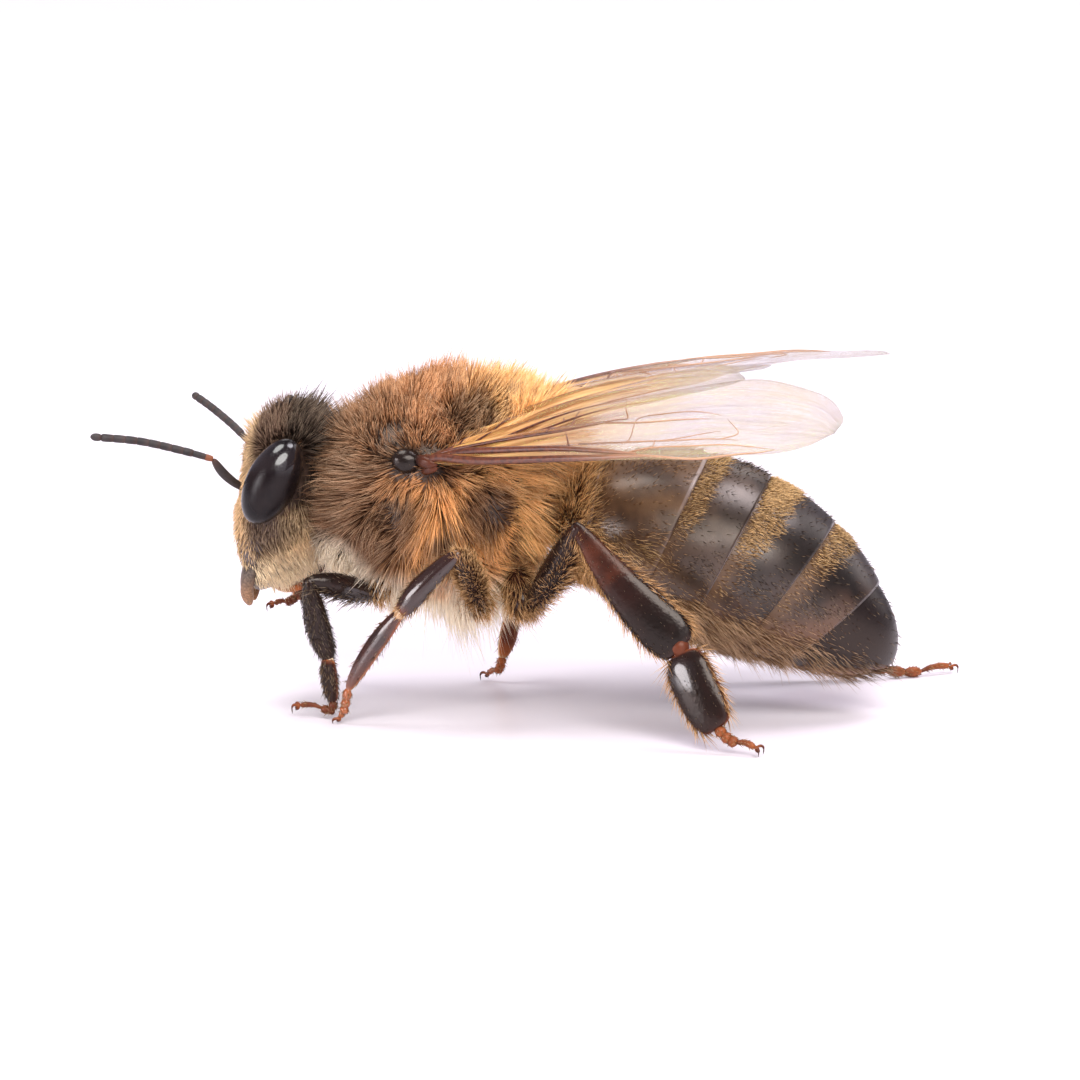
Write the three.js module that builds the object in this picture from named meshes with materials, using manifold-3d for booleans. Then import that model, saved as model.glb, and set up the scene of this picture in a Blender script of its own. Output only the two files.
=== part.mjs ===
// A worker honey bee standing with its wings half open and one front foot raised.
// Millimetres. +X is the bee's left, -Y is forwards, +Z is up, and the floor is Z = 0.
// The solids follow the outline out to the tips of the coat. Wings, feelers and feet are
// made no thinner than SHEET, and every solid keeps GAP to its neighbours.
import * as THREE from "three";
import { mergeVertices } from "three/addons/utils/BufferGeometryUtils.js";
import Module from "manifold-3d";

const wasm = await Module();
wasm.setup();

// ---------------------------------------------------------------- driving dimensions
const GAP = 0.03; // clear space between neighbouring solids
const SHEET = 0.5; // thinnest wing, feeler or foot
const FINEST = 0.004; // detail smaller than this is smoothed away
const EYE = { at: [1.44, -3.13, 4.7], half: [0.52, 0.45, 0.9], lean: -27 };
const TEGULA = { at: [1.88, -0.54, 5.16], half: [0.32, 0.36, 0.32] };

// Each pair of wings, held by the fore wing's front edge. Angles in degrees: how far the
// edge points out from straight back, how far it climbs, and how steeply the wing rises
// towards the body. "droop" is how far the tip bends down.
const WING_LENGTH = 9;
const WING_HINGE = [1.9, -0.17, 5.19];
const WING_POSE = {
  left: { out: 36, climb: 11, roof: 12.5, droop: 1.1 },
  right: { out: 29, climb: 19.4, roof: -5, droop: 1.9 },
};
// Edges of the wings as shares of WING_LENGTH: along the fore wing's front edge, and behind it.
const FORE_WING = {
  front: [[0, 0], [0.2, -0.012], [0.45, -0.012], [0.68, 0], [0.86, 0.05], [0.96, 0.11], [0.995, 0.165]],
  back: [[0, 0.04], [0.12, 0.1], [0.28, 0.19], [0.45, 0.275], [0.66, 0.345], [0.85, 0.315], [0.99, 0.19]],
};
const HIND_WING = {
  front: [[0.04, 0.03], [0.2, 0.09], [0.35, 0.17], [0.5, 0.235], [0.6, 0.29], [0.655, 0.34]],
  back: [[0.03, 0.09], [0.13, 0.2], [0.28, 0.31], [0.44, 0.385], [0.56, 0.4], [0.65, 0.36]],
};

// Stations of a body: [y, z, half thickness, half width], from one end to the other.
const HEAD = [
  [-2.8, 6.17, 0.6, 1.0],
  [-2.95, 5.6, 0.8, 1.46],
  [-3.05, 4.95, 0.91, 1.66],
  [-3.12, 4.2, 0.96, 1.66],
  [-3.16, 3.5, 0.97, 1.42],
  [-3.2, 2.95, 0.92, 1.12],
  [-3.26, 2.5, 0.8, 0.85],
];
const THORAX = [
  [-2.12, 4.78, 1.6, 1.45],
  [-1.55, 4.55, 2.0, 1.85],
  [-0.9, 4.4, 2.15, 2.05],
  [-0.2, 4.4, 2.3, 2.14],
  [0.6, 4.39, 2.36, 2.16],
  [1.3, 4.34, 2.42, 2.12],
  [1.95, 4.22, 2.46, 2.0],
  [2.42, 4.08, 2.1, 1.8],
];
const ABDOMEN = [
  [2.2, 3.72, 0.7, 0.8],
  [2.75, 3.72, 1.42, 1.6],
  [3.6, 3.72, 1.68, 2.0],
  [4.6, 3.5, 1.88, 2.15],
  [5.7, 3.13, 1.9, 2.12],
  [6.75, 2.62, 1.75, 1.92],
  [7.65, 2.02, 1.5, 1.58],
  [8.4, 1.45, 1.16, 1.18],
  [8.95, 1.02, 0.8, 0.82],
];
// Where one plate of the abdomen ends and the next begins: a point on the axis [y, z] and
// the lean of the cut from upright, degrees.
const PLATE_ENDS = [
  [3.05, 3.72, 6],
  [4.5, 3.54, 25],
  [5.66, 3.14, 28],
  [6.8, 2.56, 37],
  [7.78, 1.92, 50],
];
const NECK = [
  [-2.75, 4.4, 0.85, 0.8],
  [-2.2, 4.45, 0.95, 0.85],
  [-1.7, 4.5, 0.85, 0.8],
];
const LABRUM = [
  [-3.72, 2.72, 0.24, 0.5],
  [-3.88, 2.4, 0.26, 0.46],
  [-3.94, 2.08, 0.25, 0.36],
];
const MANDIBLE = { base: [0.56, -3.66, 2.62], tip: [0.3, -3.72, 2.08], radius: 0.25 };
const PROBOSCIS = [
  [-3.42, 2.5, 0.25, 0.3],
  [-3.1, 2.38, 0.27, 0.3],
  [-2.7, 2.38, 0.25, 0.25],
];
// Feelers: where the scape leaves the face, the elbow and the tip.
const FEELERS = {
  left: [[0.42, -3.75, 4.32], [0.9, -4.38, 5.03], [1.28, -6.62, 5.48]],
  right: [[-0.42, -3.75, 4.32], [-1.15, -3.95, 5.02], [-1.98, -5.16, 5.82]],
};
// Legs: hip, base of the femur, knee, end of the tibia, end of the first foot joint, toe tip.
const LEGS = {
  fore_left: [
    [0.62, -1.25, 2.95], [0.95, -1.12, 2.3], [1.78, -2.42, 2.82],
    [1.6, -2.03, 1.25], [1.5, -1.93, 0.32], [1.38, -2.62, 0.12],
  ],
  mid_left: [
    [0.8, 0.6, 2.7], [1.3, 0.98, 2.12], [2.7, 0.65, 3.6],
    [2.5, -0.47, 2.36], [2.1, -1.57, 0.74], [1.9, -1.72, 0.2],
  ],
  hind_left: [
    [0.85, 1.6, 2.8], [1.35, 1.85, 2.12], [2.82, 3.0, 4.16],
    [3.3, 5.0, 1.95], [3.9, 5.86, 0.44], [4.14, 6.5, 0.13],
  ],
  fore_right: [
    [-0.62, -1.25, 2.95], [-0.98, -1.15, 2.3], [-2.1, -2.25, 2.7],
    [-2.15, -2.95, 2.16], [-1.98, -3.2, 1.72], [-2.0, -3.5, 1.66],
  ],
  mid_right: [
    [-0.8, 0.6, 2.7], [-1.3, 0.95, 2.12], [-2.9, 1.35, 3.2],
    [-2.75, 1.15, 1.45], [-2.45, 0.95, 0.42], [-2.64, 0.62, 0.13],
  ],
  hind_right: [
    [-0.85, 1.6, 2.8], [-1.35, 1.9, 2.15], [-2.5, 3.9, 3.1],
    [-3.0, 6.3, 1.3], [-3.5, 8.3, 0.36], [-4.45, 9.8, 0.13],
  ],
};
// Each leg node's radii from its upper to its lower end. "flat" squeezes it from the side.
const LEG_RECIPES = {
  fore: {
    coxa: { radii: [0.34, 0.36, 0.3] },
    femur: { radii: [0.3, 0.34, 0.26] },
    tibia: { radii: [0.25, 0.32, 0.27] },
    basitarsus: { radii: [0.25, 0.27, 0.25] },
    tarsus: { radii: [0.25, 0.25, 0.25] },
  },
  mid: {
    coxa: { radii: [0.36, 0.4, 0.32] },
    femur: { radii: [0.3, 0.36, 0.26] },
    tibia: { radii: [0.25, 0.34, 0.28] },
    basitarsus: { radii: [0.25, 0.3, 0.25] },
    tarsus: { radii: [0.25, 0.25, 0.25] },
  },
  hind: {
    coxa: { radii: [0.4, 0.44, 0.34] },
    femur: { radii: [0.3, 0.38, 0.28] },
    tibia: { radii: [0.27, 0.4, 0.52, 0.54], flat: 0.5 },
    basitarsus: { radii: [0.48, 0.54, 0.46], flat: 0.52 },
    tarsus: { radii: [0.26, 0.26, 0.25] },
  },
};

// ---------------------------------------------------------------- finishes
const finish = (colour, roughness, more = {}) =>
  new THREE.MeshStandardMaterial({ color: colour, roughness, metalness: 0, ...more });
const FINISH = {
  coat: finish(0x9a6a3c, 0.9),
  face: finish(0x7a5c40, 0.9),
  eye: finish(0x0c0a0c, 0.15),
  plate: finish(0x2c2019, 0.4),
  horn: finish(0x3a2419, 0.35),
  feeler: finish(0x3a302c, 0.6),
  leg: finish(0x2a1c16, 0.35),
  foot: finish(0x8a3f20, 0.4),
  wing: finish(0xc8a37a, 0.2, { transparent: true, opacity: 0.5 }),
};

// ---------------------------------------------------------------- tools
const vector = (list) => new THREE.Vector3(...list);
const radians = THREE.MathUtils.degToRad;
const UP = vector([0, 0, 1]);
const FLOOR = vector([0, 0, 0]);

// A closed geometry as a solid that can be cut.
function solidOf(geometry) {
  const bare = geometry.index ? geometry.toNonIndexed() : geometry.clone();
  bare.deleteAttribute("normal");
  bare.deleteAttribute("uv");
  const merged = mergeVertices(bare, 1e-5);
  return new wasm.Manifold(
    new wasm.Mesh({
      numProp: 3,
      vertProperties: merged.attributes.position.array,
      triVerts: new Uint32Array(merged.index.array),
    }),
  );
}

function geometryOf(solid) {
  const mesh = solid.simplify(FINEST).getMesh();
  const geometry = new THREE.BufferGeometry();
  geometry.setAttribute("position", new THREE.BufferAttribute(mesh.vertProperties, 3));
  geometry.setIndex(new THREE.BufferAttribute(mesh.triVerts, 1));
  geometry.computeVertexNormals();
  return geometry;
}

// The solid made larger by a margin on every side of its box.
function grown(solid, margin = GAP) {
  const box = solid.boundingBox();
  const middle = box.min.map((low, k) => (low + box.max[k]) / 2);
  const scale = box.min.map((low, k) => 1 + (2 * margin) / (box.max[k] - low));
  const back = middle.map((m) => -m);
  return solid.translate(back).scale(scale).translate(middle);
}

// The solid less every cutter. Its largest piece is kept.
function cutBy(solid, cutters) {
  const rest = cutters.reduce((left, cutter) => left.subtract(cutter), solid);
  return rest.decompose().reduce((best, piece) => (piece.volume() > best.volume() ? piece : best));
}

// The solid with room made for each of its neighbours.
const clearOf = (solid, neighbours) => cutBy(solid, neighbours.map((other) => grown(other)));

// The part of the solid beyond a plane through a point.
function keepBeyond(solid, point, normal) {
  const n = normal.clone().normalize();
  return solid.trimByPlane(n.toArray(), n.dot(point));
}

// Profile of a body of length 1: round at both ends, blunter for a larger power.
function roundProfile(along, blunt) {
  return Array.from({ length: along + 1 }, (_, i) => {
    const t = (1 - Math.cos((Math.PI * i) / along)) / 2;
    const inside = i > 0 && i < along;
    const r = inside ? (1 - Math.abs(2 * t - 1) ** blunt) ** (1 / blunt) : 0;
    return new THREE.Vector2(r, t);
  });
}

// A body through stations in the bee's upright middle plane.
function loft(stations, { around = 20, along = 12, blunt = 2.6 } = {}) {
  const axis = new THREE.CatmullRomCurve3(stations.map(([y, z]) => vector([0, y, z])));
  const sizes = new THREE.CatmullRomCurve3(
    stations.map(([, , thick, wide]) => vector([wide, thick, 0])),
  );
  const geometry = new THREE.LatheGeometry(roundProfile(along, blunt), around);
  const p = geometry.attributes.position;
  for (let i = 0; i < p.count; i++) {
    const t = THREE.MathUtils.clamp(p.getY(i), 0, 1);
    const centre = axis.getPoint(t);
    const way = axis.getTangent(t);
    const half = sizes.getPoint(t);
    const out = p.getZ(i) * half.y;
    p.setXYZ(i, p.getX(i) * half.x, centre.y - way.z * out, centre.z + way.y * out);
  }
  return solidOf(geometry);
}

function ellipsoid({ at, half, lean = 0 }, side, around) {
  const geometry = new THREE.SphereGeometry(1, around, Math.round(around * 0.7));
  geometry.scale(...half);
  geometry.rotateX(radians(lean));
  geometry.translate(at[0] * side, at[1], at[2]);
  return solidOf(geometry);
}

// A straight limb piece between two points. The profile gives its radius along the way. The
// piece runs past both ends, where it is cut to meet its neighbours.
function limbPiece(from, to, { radii, flat = 1, wide = UP, around = 8 }) {
  const way = to.clone().sub(from);
  const length = way.length();
  const sides = new THREE.SplineCurve(
    radii.map((r, i) => new THREE.Vector2(r, (length * i) / (radii.length - 1))),
  );
  const first = radii[0];
  const last = radii.at(-1);
  const profile = [
    new THREE.Vector2(0, -first),
    new THREE.Vector2(first * 0.8, -first * 0.6),
    ...sides.getPoints(radii.length),
    new THREE.Vector2(last * 0.8, length + last * 0.6),
    new THREE.Vector2(0, length + last),
  ];
  const geometry = new THREE.LatheGeometry(profile, around);
  geometry.scale(1, 1, flat);
  const y = way.normalize();
  const z = new THREE.Vector3().crossVectors(wide, y).normalize();
  const x = new THREE.Vector3().crossVectors(y, z);
  geometry.applyMatrix4(new THREE.Matrix4().makeBasis(x, y, z).setPosition(from));
  return solidOf(geometry);
}

// A chain of limb pieces through the points. Both pieces at a joint are cut along the plane
// that halves the bend.
function chain(points, recipes) {
  const ways = recipes.map((_, i) => points[i + 1].clone().sub(points[i]).normalize());
  const pieces = recipes.map((recipe, i) => limbPiece(points[i], points[i + 1], recipe));
  for (let i = 1; i < pieces.length; i++) {
    const half = ways[i - 1].clone().add(ways[i]).normalize();
    const before = points[i].clone().addScaledVector(half, -GAP / 2);
    const after = points[i].clone().addScaledVector(half, GAP / 2);
    pieces[i - 1] = keepBeyond(pieces[i - 1], before, half.clone().negate());
    pieces[i] = keepBeyond(pieces[i], after, half);
  }
  return pieces;
}

// ---------------------------------------------------------------- head
const thorax = loft(THORAX, { around: 24, along: 13, blunt: 3 });
const headWhole = loft(HEAD, { around: 22, along: 12, blunt: 2.4 });
const eyes = { left: ellipsoid(EYE, 1, 14), right: ellipsoid(EYE, -1, 14) };
const neck = clearOf(loft(NECK, { around: 12, along: 5 }), [headWhole, thorax]);
const labrum = clearOf(loft(LABRUM, { around: 12, along: 6 }), [headWhole]);

function mandible(side) {
  const [base, tip] = [MANDIBLE.base, MANDIBLE.tip].map(([x, y, z]) => vector([x * side, y, z]));
  const r = MANDIBLE.radius;
  return clearOf(limbPiece(base, tip, { radii: [r, r, r * 0.8] }), [headWhole, labrum]);
}
const mandibles = { left: mandible(1), right: mandible(-1) };
const mouth = [labrum, mandibles.left, mandibles.right];
const proboscis = clearOf(loft(PROBOSCIS, { around: 12, along: 6 }), [headWhole, ...mouth]);

function feeler(places) {
  const r = SHEET / 2;
  const recipe = { radii: [r, r * 1.04, r] };
  const [scape, flagellum] = chain(places.map(vector), [recipe, recipe]);
  return { scape: clearOf(scape, [headWhole]), flagellum };
}

// ---------------------------------------------------------------- abdomen
function abdomenPlates() {
  const whole = clearOf(loft(ABDOMEN, { around: 22, along: 16, blunt: 2.6 }), [thorax]);
  const cuts = PLATE_ENDS.map(([y, z, lean]) => {
    const tailward = vector([0, Math.cos(radians(lean)), -Math.sin(radians(lean))]);
    return { point: vector([0, y, z]), tailward };
  });
  return [...cuts, null].map((end, i) => {
    let plate = whole;
    if (i > 0) {
      const { point, tailward } = cuts[i - 1];
      plate = keepBeyond(plate, point.clone().addScaledVector(tailward, GAP / 2), tailward);
    }
    if (end) {
      const edge = end.point.clone().addScaledVector(end.tailward, -GAP / 2);
      plate = keepBeyond(plate, edge, end.tailward.clone().negate());
    }
    return plate;
  });
}
const plates = abdomenPlates();

// ---------------------------------------------------------------- legs
// The flat side of a hind leg faces outwards.
function leg(name, places) {
  const points = places.map(vector);
  const recipe = LEG_RECIPES[name.split("_")[0]];
  const outwards = vector([Math.sign(places[0][0]), 0, 0.2]);
  const wide = points[4].clone().sub(points[2]).cross(outwards);
  const pieces = chain(points, Object.values(recipe).map((piece) => ({ ...piece, wide })));
  const body = [thorax, plates[0], plates[1], plates[2]];
  return Object.keys(recipe).map((node, i) => {
    const standing = keepBeyond(pieces[i], FLOOR, UP);
    return [`${node}_${name}`, i < 3 ? clearOf(standing, body) : standing];
  });
}

// ---------------------------------------------------------------- wings
// A sheet between two edge curves, bent over its length and set in the wing's frame.
function wingSheet({ front, back }, { out, climb, roof, droop }, thickness, shrink = 0) {
  const curve = (edge) =>
    new THREE.SplineCurve(edge.map(([u, v]) => new THREE.Vector2(u, v).multiplyScalar(WING_LENGTH)));
  const [fore, aft] = [curve(front), curve(back)];
  const geometry = new THREE.BoxGeometry(1, 1, thickness, 12, 2, 1);
  const p = geometry.attributes.position;
  for (let i = 0; i < p.count; i++) {
    const t = Math.sin(((p.getX(i) + 0.5) * Math.PI) / 2); // stations crowd towards the tip
    const place = fore.getPointAt(t).lerp(aft.getPointAt(t), p.getY(i) + 0.5);
    const bend = (droop * place.x ** 2) / WING_LENGTH ** 2;
    p.setXYZ(i, place.x, place.y + shrink * (p.getY(i) + 0.5), p.getZ(i) - bend);
  }
  const [a, c, r] = [out, climb, roof].map(radians);
  const along = vector([Math.sin(a) * Math.cos(c), Math.cos(a) * Math.cos(c), Math.sin(c)]);
  const inward = vector([-Math.cos(r), 0, Math.sin(r)]);
  const up = new THREE.Vector3().crossVectors(along, inward).normalize();
  const across = new THREE.Vector3().crossVectors(up, along);
  geometry.applyMatrix4(
    new THREE.Matrix4().makeBasis(along, across, up).setPosition(vector(WING_HINGE)),
  );
  return solidOf(geometry);
}

// The hind wing shows only behind the fore wing's back edge.
function wingPair(side) {
  const pose = WING_POSE[side];
  const fore = wingSheet(FORE_WING, pose, SHEET);
  const room = wingSheet(FORE_WING, pose, 3 * SHEET, GAP);
  const hind = cutBy(wingSheet(HIND_WING, pose, SHEET), [room]);
  return [fore, hind].map((solid) => (side === "left" ? solid : solid.mirror([1, 0, 0])));
}

// ---------------------------------------------------------------- the whole bee
const bee = new THREE.Group();

function add(name, solid, material) {
  const mesh = new THREE.Mesh(geometryOf(solid), material);
  mesh.name = name;
  bee.add(mesh);
}

add("head", clearOf(headWhole, [eyes.left, eyes.right, thorax]), FINISH.face);
add("neck", neck, FINISH.coat);
add("labrum", labrum, FINISH.horn);
add("proboscis", proboscis, FINISH.horn);
add("thorax", thorax, FINISH.coat);
plates.forEach((plate, i) => add(`abdomen_${i + 1}`, plate, FINISH.plate));
for (const [side, sign] of [["left", 1], ["right", -1]]) {
  add(`eye_${side}`, eyes[side], FINISH.eye);
  add(`mandible_${side}`, mandibles[side], FINISH.horn);
  const { scape, flagellum } = feeler(FEELERS[side]);
  add(`scape_${side}`, scape, FINISH.feeler);
  add(`flagellum_${side}`, flagellum, FINISH.feeler);
  const tegula = clearOf(ellipsoid(TEGULA, sign, 10), [thorax]);
  const [fore, hind] = wingPair(side);
  add(`tegula_${side}`, tegula, FINISH.horn);
  add(`fore_wing_${side}`, clearOf(fore, [thorax, tegula]), FINISH.wing);
  add(`hind_wing_${side}`, clearOf(hind, [thorax]), FINISH.wing);
}
for (const [name, places] of Object.entries(LEGS)) {
  for (const [node, solid] of leg(name, places)) {
    const hard = /tarsus/.test(node) ? FINISH.foot : FINISH.leg;
    add(node, solid, hard);
  }
}

// The origin is the middle of the floor under the bee.
const box = new THREE.Box3().setFromObject(bee, true);
bee.position.set(-(box.min.x + box.max.x) / 2, -(box.min.y + box.max.y) / 2, -box.min.z);
const part = new THREE.Group();
part.add(bee);

export default part;
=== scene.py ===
"""The looks of a standing worker honey bee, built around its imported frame.

The bee is laid out in millimetres in its own space: +X is its left, -Y is forwards, +Z is up,
the floor is Z = 0 and the middle of the thorax is near Y = 0. Each finished piece is scaled to
metres and moved into the frame, with its place in its mesh.
"""

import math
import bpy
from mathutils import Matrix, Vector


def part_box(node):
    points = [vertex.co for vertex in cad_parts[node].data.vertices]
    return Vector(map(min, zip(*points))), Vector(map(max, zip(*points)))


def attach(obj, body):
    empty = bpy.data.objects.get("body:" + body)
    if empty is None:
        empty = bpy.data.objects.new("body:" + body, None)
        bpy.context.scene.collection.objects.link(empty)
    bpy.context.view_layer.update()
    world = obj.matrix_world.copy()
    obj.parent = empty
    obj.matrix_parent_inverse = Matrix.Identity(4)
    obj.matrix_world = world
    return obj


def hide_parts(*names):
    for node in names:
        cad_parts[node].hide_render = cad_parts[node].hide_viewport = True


bl_info = {
    "name": "Honey bee",
    "version": (1, 0, 0),
    "blender": (4, 5, 0),
    "location": "View3D > Sidebar > Bee",
    "description": "Builds the looks of a standing worker honey bee around its packed frame",
    "category": "Object",
}

import bpy
import numpy as np
from bpy.props import FloatProperty, FloatVectorProperty, IntProperty, PointerProperty
from mathutils import Matrix, Vector

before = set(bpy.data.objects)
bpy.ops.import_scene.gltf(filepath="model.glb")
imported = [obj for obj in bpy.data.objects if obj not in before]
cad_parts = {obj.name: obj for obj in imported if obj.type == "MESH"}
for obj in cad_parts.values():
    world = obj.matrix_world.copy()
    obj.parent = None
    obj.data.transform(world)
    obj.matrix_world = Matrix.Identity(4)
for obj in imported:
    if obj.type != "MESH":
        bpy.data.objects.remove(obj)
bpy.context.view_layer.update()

MM = 0.001
SIDES = {"left": 1, "right": -1}

# The eyes fix the bee's own space in the frame: this is the point half way between them.
EYE = {"at": (1.44, -3.13, 4.7), "half": (0.55, 0.5, 0.92), "lean": -27}
_corners = [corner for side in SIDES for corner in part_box(f"eye_{side}")]
ORIGIN = sum(_corners, Vector()) / 4 - Vector((0, *EYE["at"][1:])) * MM

# ------------------------------------------------------------------ the bee's measures, mm
# The least height of any point above the floor.
FLOOR_GAP = 0.003
# Bodies: [y, z, half width, half thickness] from one end to the other, on the bare skin.
HEAD = [
    (-2.93, 5.86, 0.7, 0.36),
    (-2.95, 5.45, 1.2, 0.64),
    (-3.05, 4.95, 1.5, 0.73),
    (-3.13, 4.2, 1.5, 0.78),
    (-3.22, 3.55, 1.24, 0.76),
    (-3.36, 3.0, 0.92, 0.66),
    (-3.52, 2.62, 0.7, 0.48),
    (-3.66, 2.3, 0.5, 0.3),
]
THORAX = [
    (-2.25, 4.85, 1.2, 1.05),
    (-1.6, 4.62, 1.6, 1.6),
    (-0.8, 4.46, 1.72, 1.84),
    (-0.1, 4.43, 1.78, 1.94),
    (0.6, 4.41, 1.78, 1.96),
    (1.2, 4.33, 1.7, 1.94),
    (1.75, 4.18, 1.5, 1.84),
    (2.25, 3.98, 1.15, 1.3),
]
ABDOMEN = [
    (2.2, 3.72, 0.72, 0.62),
    (2.75, 3.72, 1.5, 1.32),
    (3.6, 3.72, 1.9, 1.58),
    (4.6, 3.5, 2.04, 1.77),
    (5.7, 3.13, 2.0, 1.79),
    (6.75, 2.62, 1.8, 1.64),
    (7.65, 2.02, 1.48, 1.4),
    (8.4, 1.45, 1.08, 1.08),
    (8.9, 1.05, 0.72, 0.74),
]
# On the left of the head: the root of the feeler, and the dark patch under the eye.
FEELER_ROOT = (0.42, -3.75, 4.32)
UNDER_EYE = (1.2, -3.35, 3.7)
NECK = [
    (-2.95, 4.1, 0.6, 0.75),
    (-2.4, 4.05, 0.7, 0.85),
    (-1.7, 3.9, 0.9, 1.1),
    (-1.1, 3.9, 1.0, 1.2),
]
# Where the hair of the left half of the thorax is dark: [x, y, z] and size.
DARK_TUFTS = [
    ((1.3, 0.85, 6.1), 0.75),
    ((1.9, 1.2, 4.2), 0.85),
    ((1.9, -0.7, 4.0), 0.7),
    ((1.9, 0.3, 3.5), 0.5),
    ((1.8, -0.75, 5.5), 0.6),
    ((1.5, -1.9, 5.3), 0.5),
]
# Bare or thin places on the left half of the thorax: [x, y, z], size, and how bare.
BALD = [
    ((1.3, -0.85, 5.67), 0.39, 1.0),
    ((1.15, 0.87, 5.98), 0.34, 0.6),
    ((1.75, -0.5, 5.1), 0.36, 1.0),
    ((1.8, 0.05, 5.15), 0.38, 0.9),
    ((1.75, 1.3, 4.25), 0.4, 0.75),
    ((1.72, -0.7, 4.05), 0.36, 0.7),
    ((1.6, -0.9, 4.4), 0.22, 0.6),
    ((1.7, 0.6, 3.6), 0.3, 0.6),
    ((1.6, 0.15, 5.55), 0.25, 0.5),
]
# Where a plate of the abdomen ends: [y, z] on the axis and the lean of its edge, degrees.
PLATE_ENDS = [(3.05, 3.72, 6), (4.5, 3.54, 25), (5.66, 3.14, 28), (6.8, 2.56, 37), (7.78, 1.92, 50)]
LAST_PLATE = len(PLATE_ENDS)
# Rings of a plate and points round it, and how far it goes under the one before it, as a share.
PLATE_ROWS, PLATE_AROUND, PLATE_TUCK = 30, 112, 0.12
# The golden felt of each plate: how dense, how much of the plate's length, and how low it reaches.
BANDS = {2: (0.75, 0.34, 0.5), 3: (1.0, 0.4, 0.42), 4: (0.5, 0.34, 0.5)}
# How dense the belly hair of each plate is.
BELLY = (1, 1, 1, 0.8, 0.5, 0.2)
# Legs: hip, base of the femur, knee, end of the tibia, end of the first foot joint, and on to
# the claws.
LEGS = {
    "fore_left": [
        (0.62, -1.25, 2.95), (0.95, -1.12, 2.36), (1.76, -2.38, 2.8), (1.6, -2.03, 1.25),
        (1.5, -1.95, 0.36), (1.48, -1.97, 0.16), (1.44, -2.16, 0.2), (1.38, -2.62, 0.24),
    ],
    "mid_left": [
        (0.8, 0.6, 2.7), (1.3, 0.98, 2.2), (2.68, 0.65, 3.56), (2.5, -0.47, 2.36),
        (2.02, -1.58, 0.72), (1.95, -1.64, 0.42), (1.92, -1.68, 0.24), (1.9, -1.74, 0.12),
    ],
    "hind_left": [
        (0.85, 1.6, 2.8), (1.35, 1.85, 2.2), (2.8, 2.98, 4.14), (3.3, 5.0, 1.95),
        (3.88, 5.78, 0.5), (3.96, 5.95, 0.32), (4.04, 6.14, 0.24), (4.16, 6.52, 0.18),
    ],
    "fore_right": [
        (-0.62, -1.25, 2.95), (-0.98, -1.15, 2.36), (-2.08, -2.22, 2.68), (-2.13, -2.92, 2.16),
        (-1.98, -3.18, 1.76), (-1.97, -3.28, 1.7), (-1.98, -3.36, 1.66), (-2.0, -3.62, 1.62),
    ],
    "mid_right": [
        (-0.8, 0.6, 2.7), (-1.3, 0.95, 2.2), (-2.86, 1.33, 3.16), (-2.72, 1.13, 1.45),
        (-2.45, 0.94, 0.52), (-2.48, 0.92, 0.36), (-2.54, 0.84, 0.22), (-2.64, 0.66, 0.16),
    ],
    "hind_right": [
        (-0.85, 1.6, 2.8), (-1.35, 1.9, 2.22), (-2.5, 3.9, 3.06), (-3.0, 6.3, 1.3),
        (-3.45, 8.25, 0.3), (-3.72, 8.82, 0.14), (-3.95, 9.3, 0.11), (-4.36, 9.88, 0.16),
    ],
}
# Bare radii of the leg pieces from top to bottom, and how flat the hind ones are.
LEG_PIECES = {
    "fore": {
        "coxa": ([0.2, 0.25, 0.2], 1),
        "femur": ([0.13, 0.23, 0.24, 0.17], 0.85),
        "tibia": ([0.13, 0.22, 0.25, 0.2], 0.75),
        "basitarsus": ([0.13, 0.17, 0.16, 0.12], 0.8),
    },
    "mid": {
        "coxa": ([0.22, 0.28, 0.22], 1),
        "femur": ([0.13, 0.24, 0.25, 0.17], 0.85),
        "tibia": ([0.14, 0.2, 0.24, 0.2], 0.7),
        "basitarsus": ([0.13, 0.19, 0.18, 0.12], 0.6),
    },
    "hind": {
        "coxa": ([0.26, 0.32, 0.26], 1),
        "femur": ([0.15, 0.27, 0.29, 0.2], 0.85),
        "tibia": ([0.13, 0.22, 0.31, 0.39, 0.46, 0.5, 0.48], 0.3),
        "basitarsus": ([0.34, 0.45, 0.47, 0.47, 0.44, 0.36], 0.34),
    },
}
# The joint between tibia and foot: its radii and its tone.
JOINT = {
    "fore": ([0.1, 0.12, 0.1], 1.2),
    "mid": ([0.1, 0.13, 0.1], 0.95),
    "hind": ([0.16, 0.2, 0.16], 0.5),
}
# How blunt the ends of the leg pieces are, and the radius of the short foot joints.
BLUNT = {"coxa": 3.0, "femur": 2.8, "tibia": 4.0, "basitarsus": 4.0}
TOE_SIZE = {"fore": 0.085, "mid": 0.09, "hind": 0.105}
# Which way the broad sides of a left leg's tibia and foot face, and those of the hind left foot.
BROAD = {"fore": (1, -0.3, 0.1), "mid": (0.87, -0.43, 0.18), "hind": (1, -0.15, 0.2)}
BROAD_FOOT = (1, -0.43, 0.26)
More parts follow.
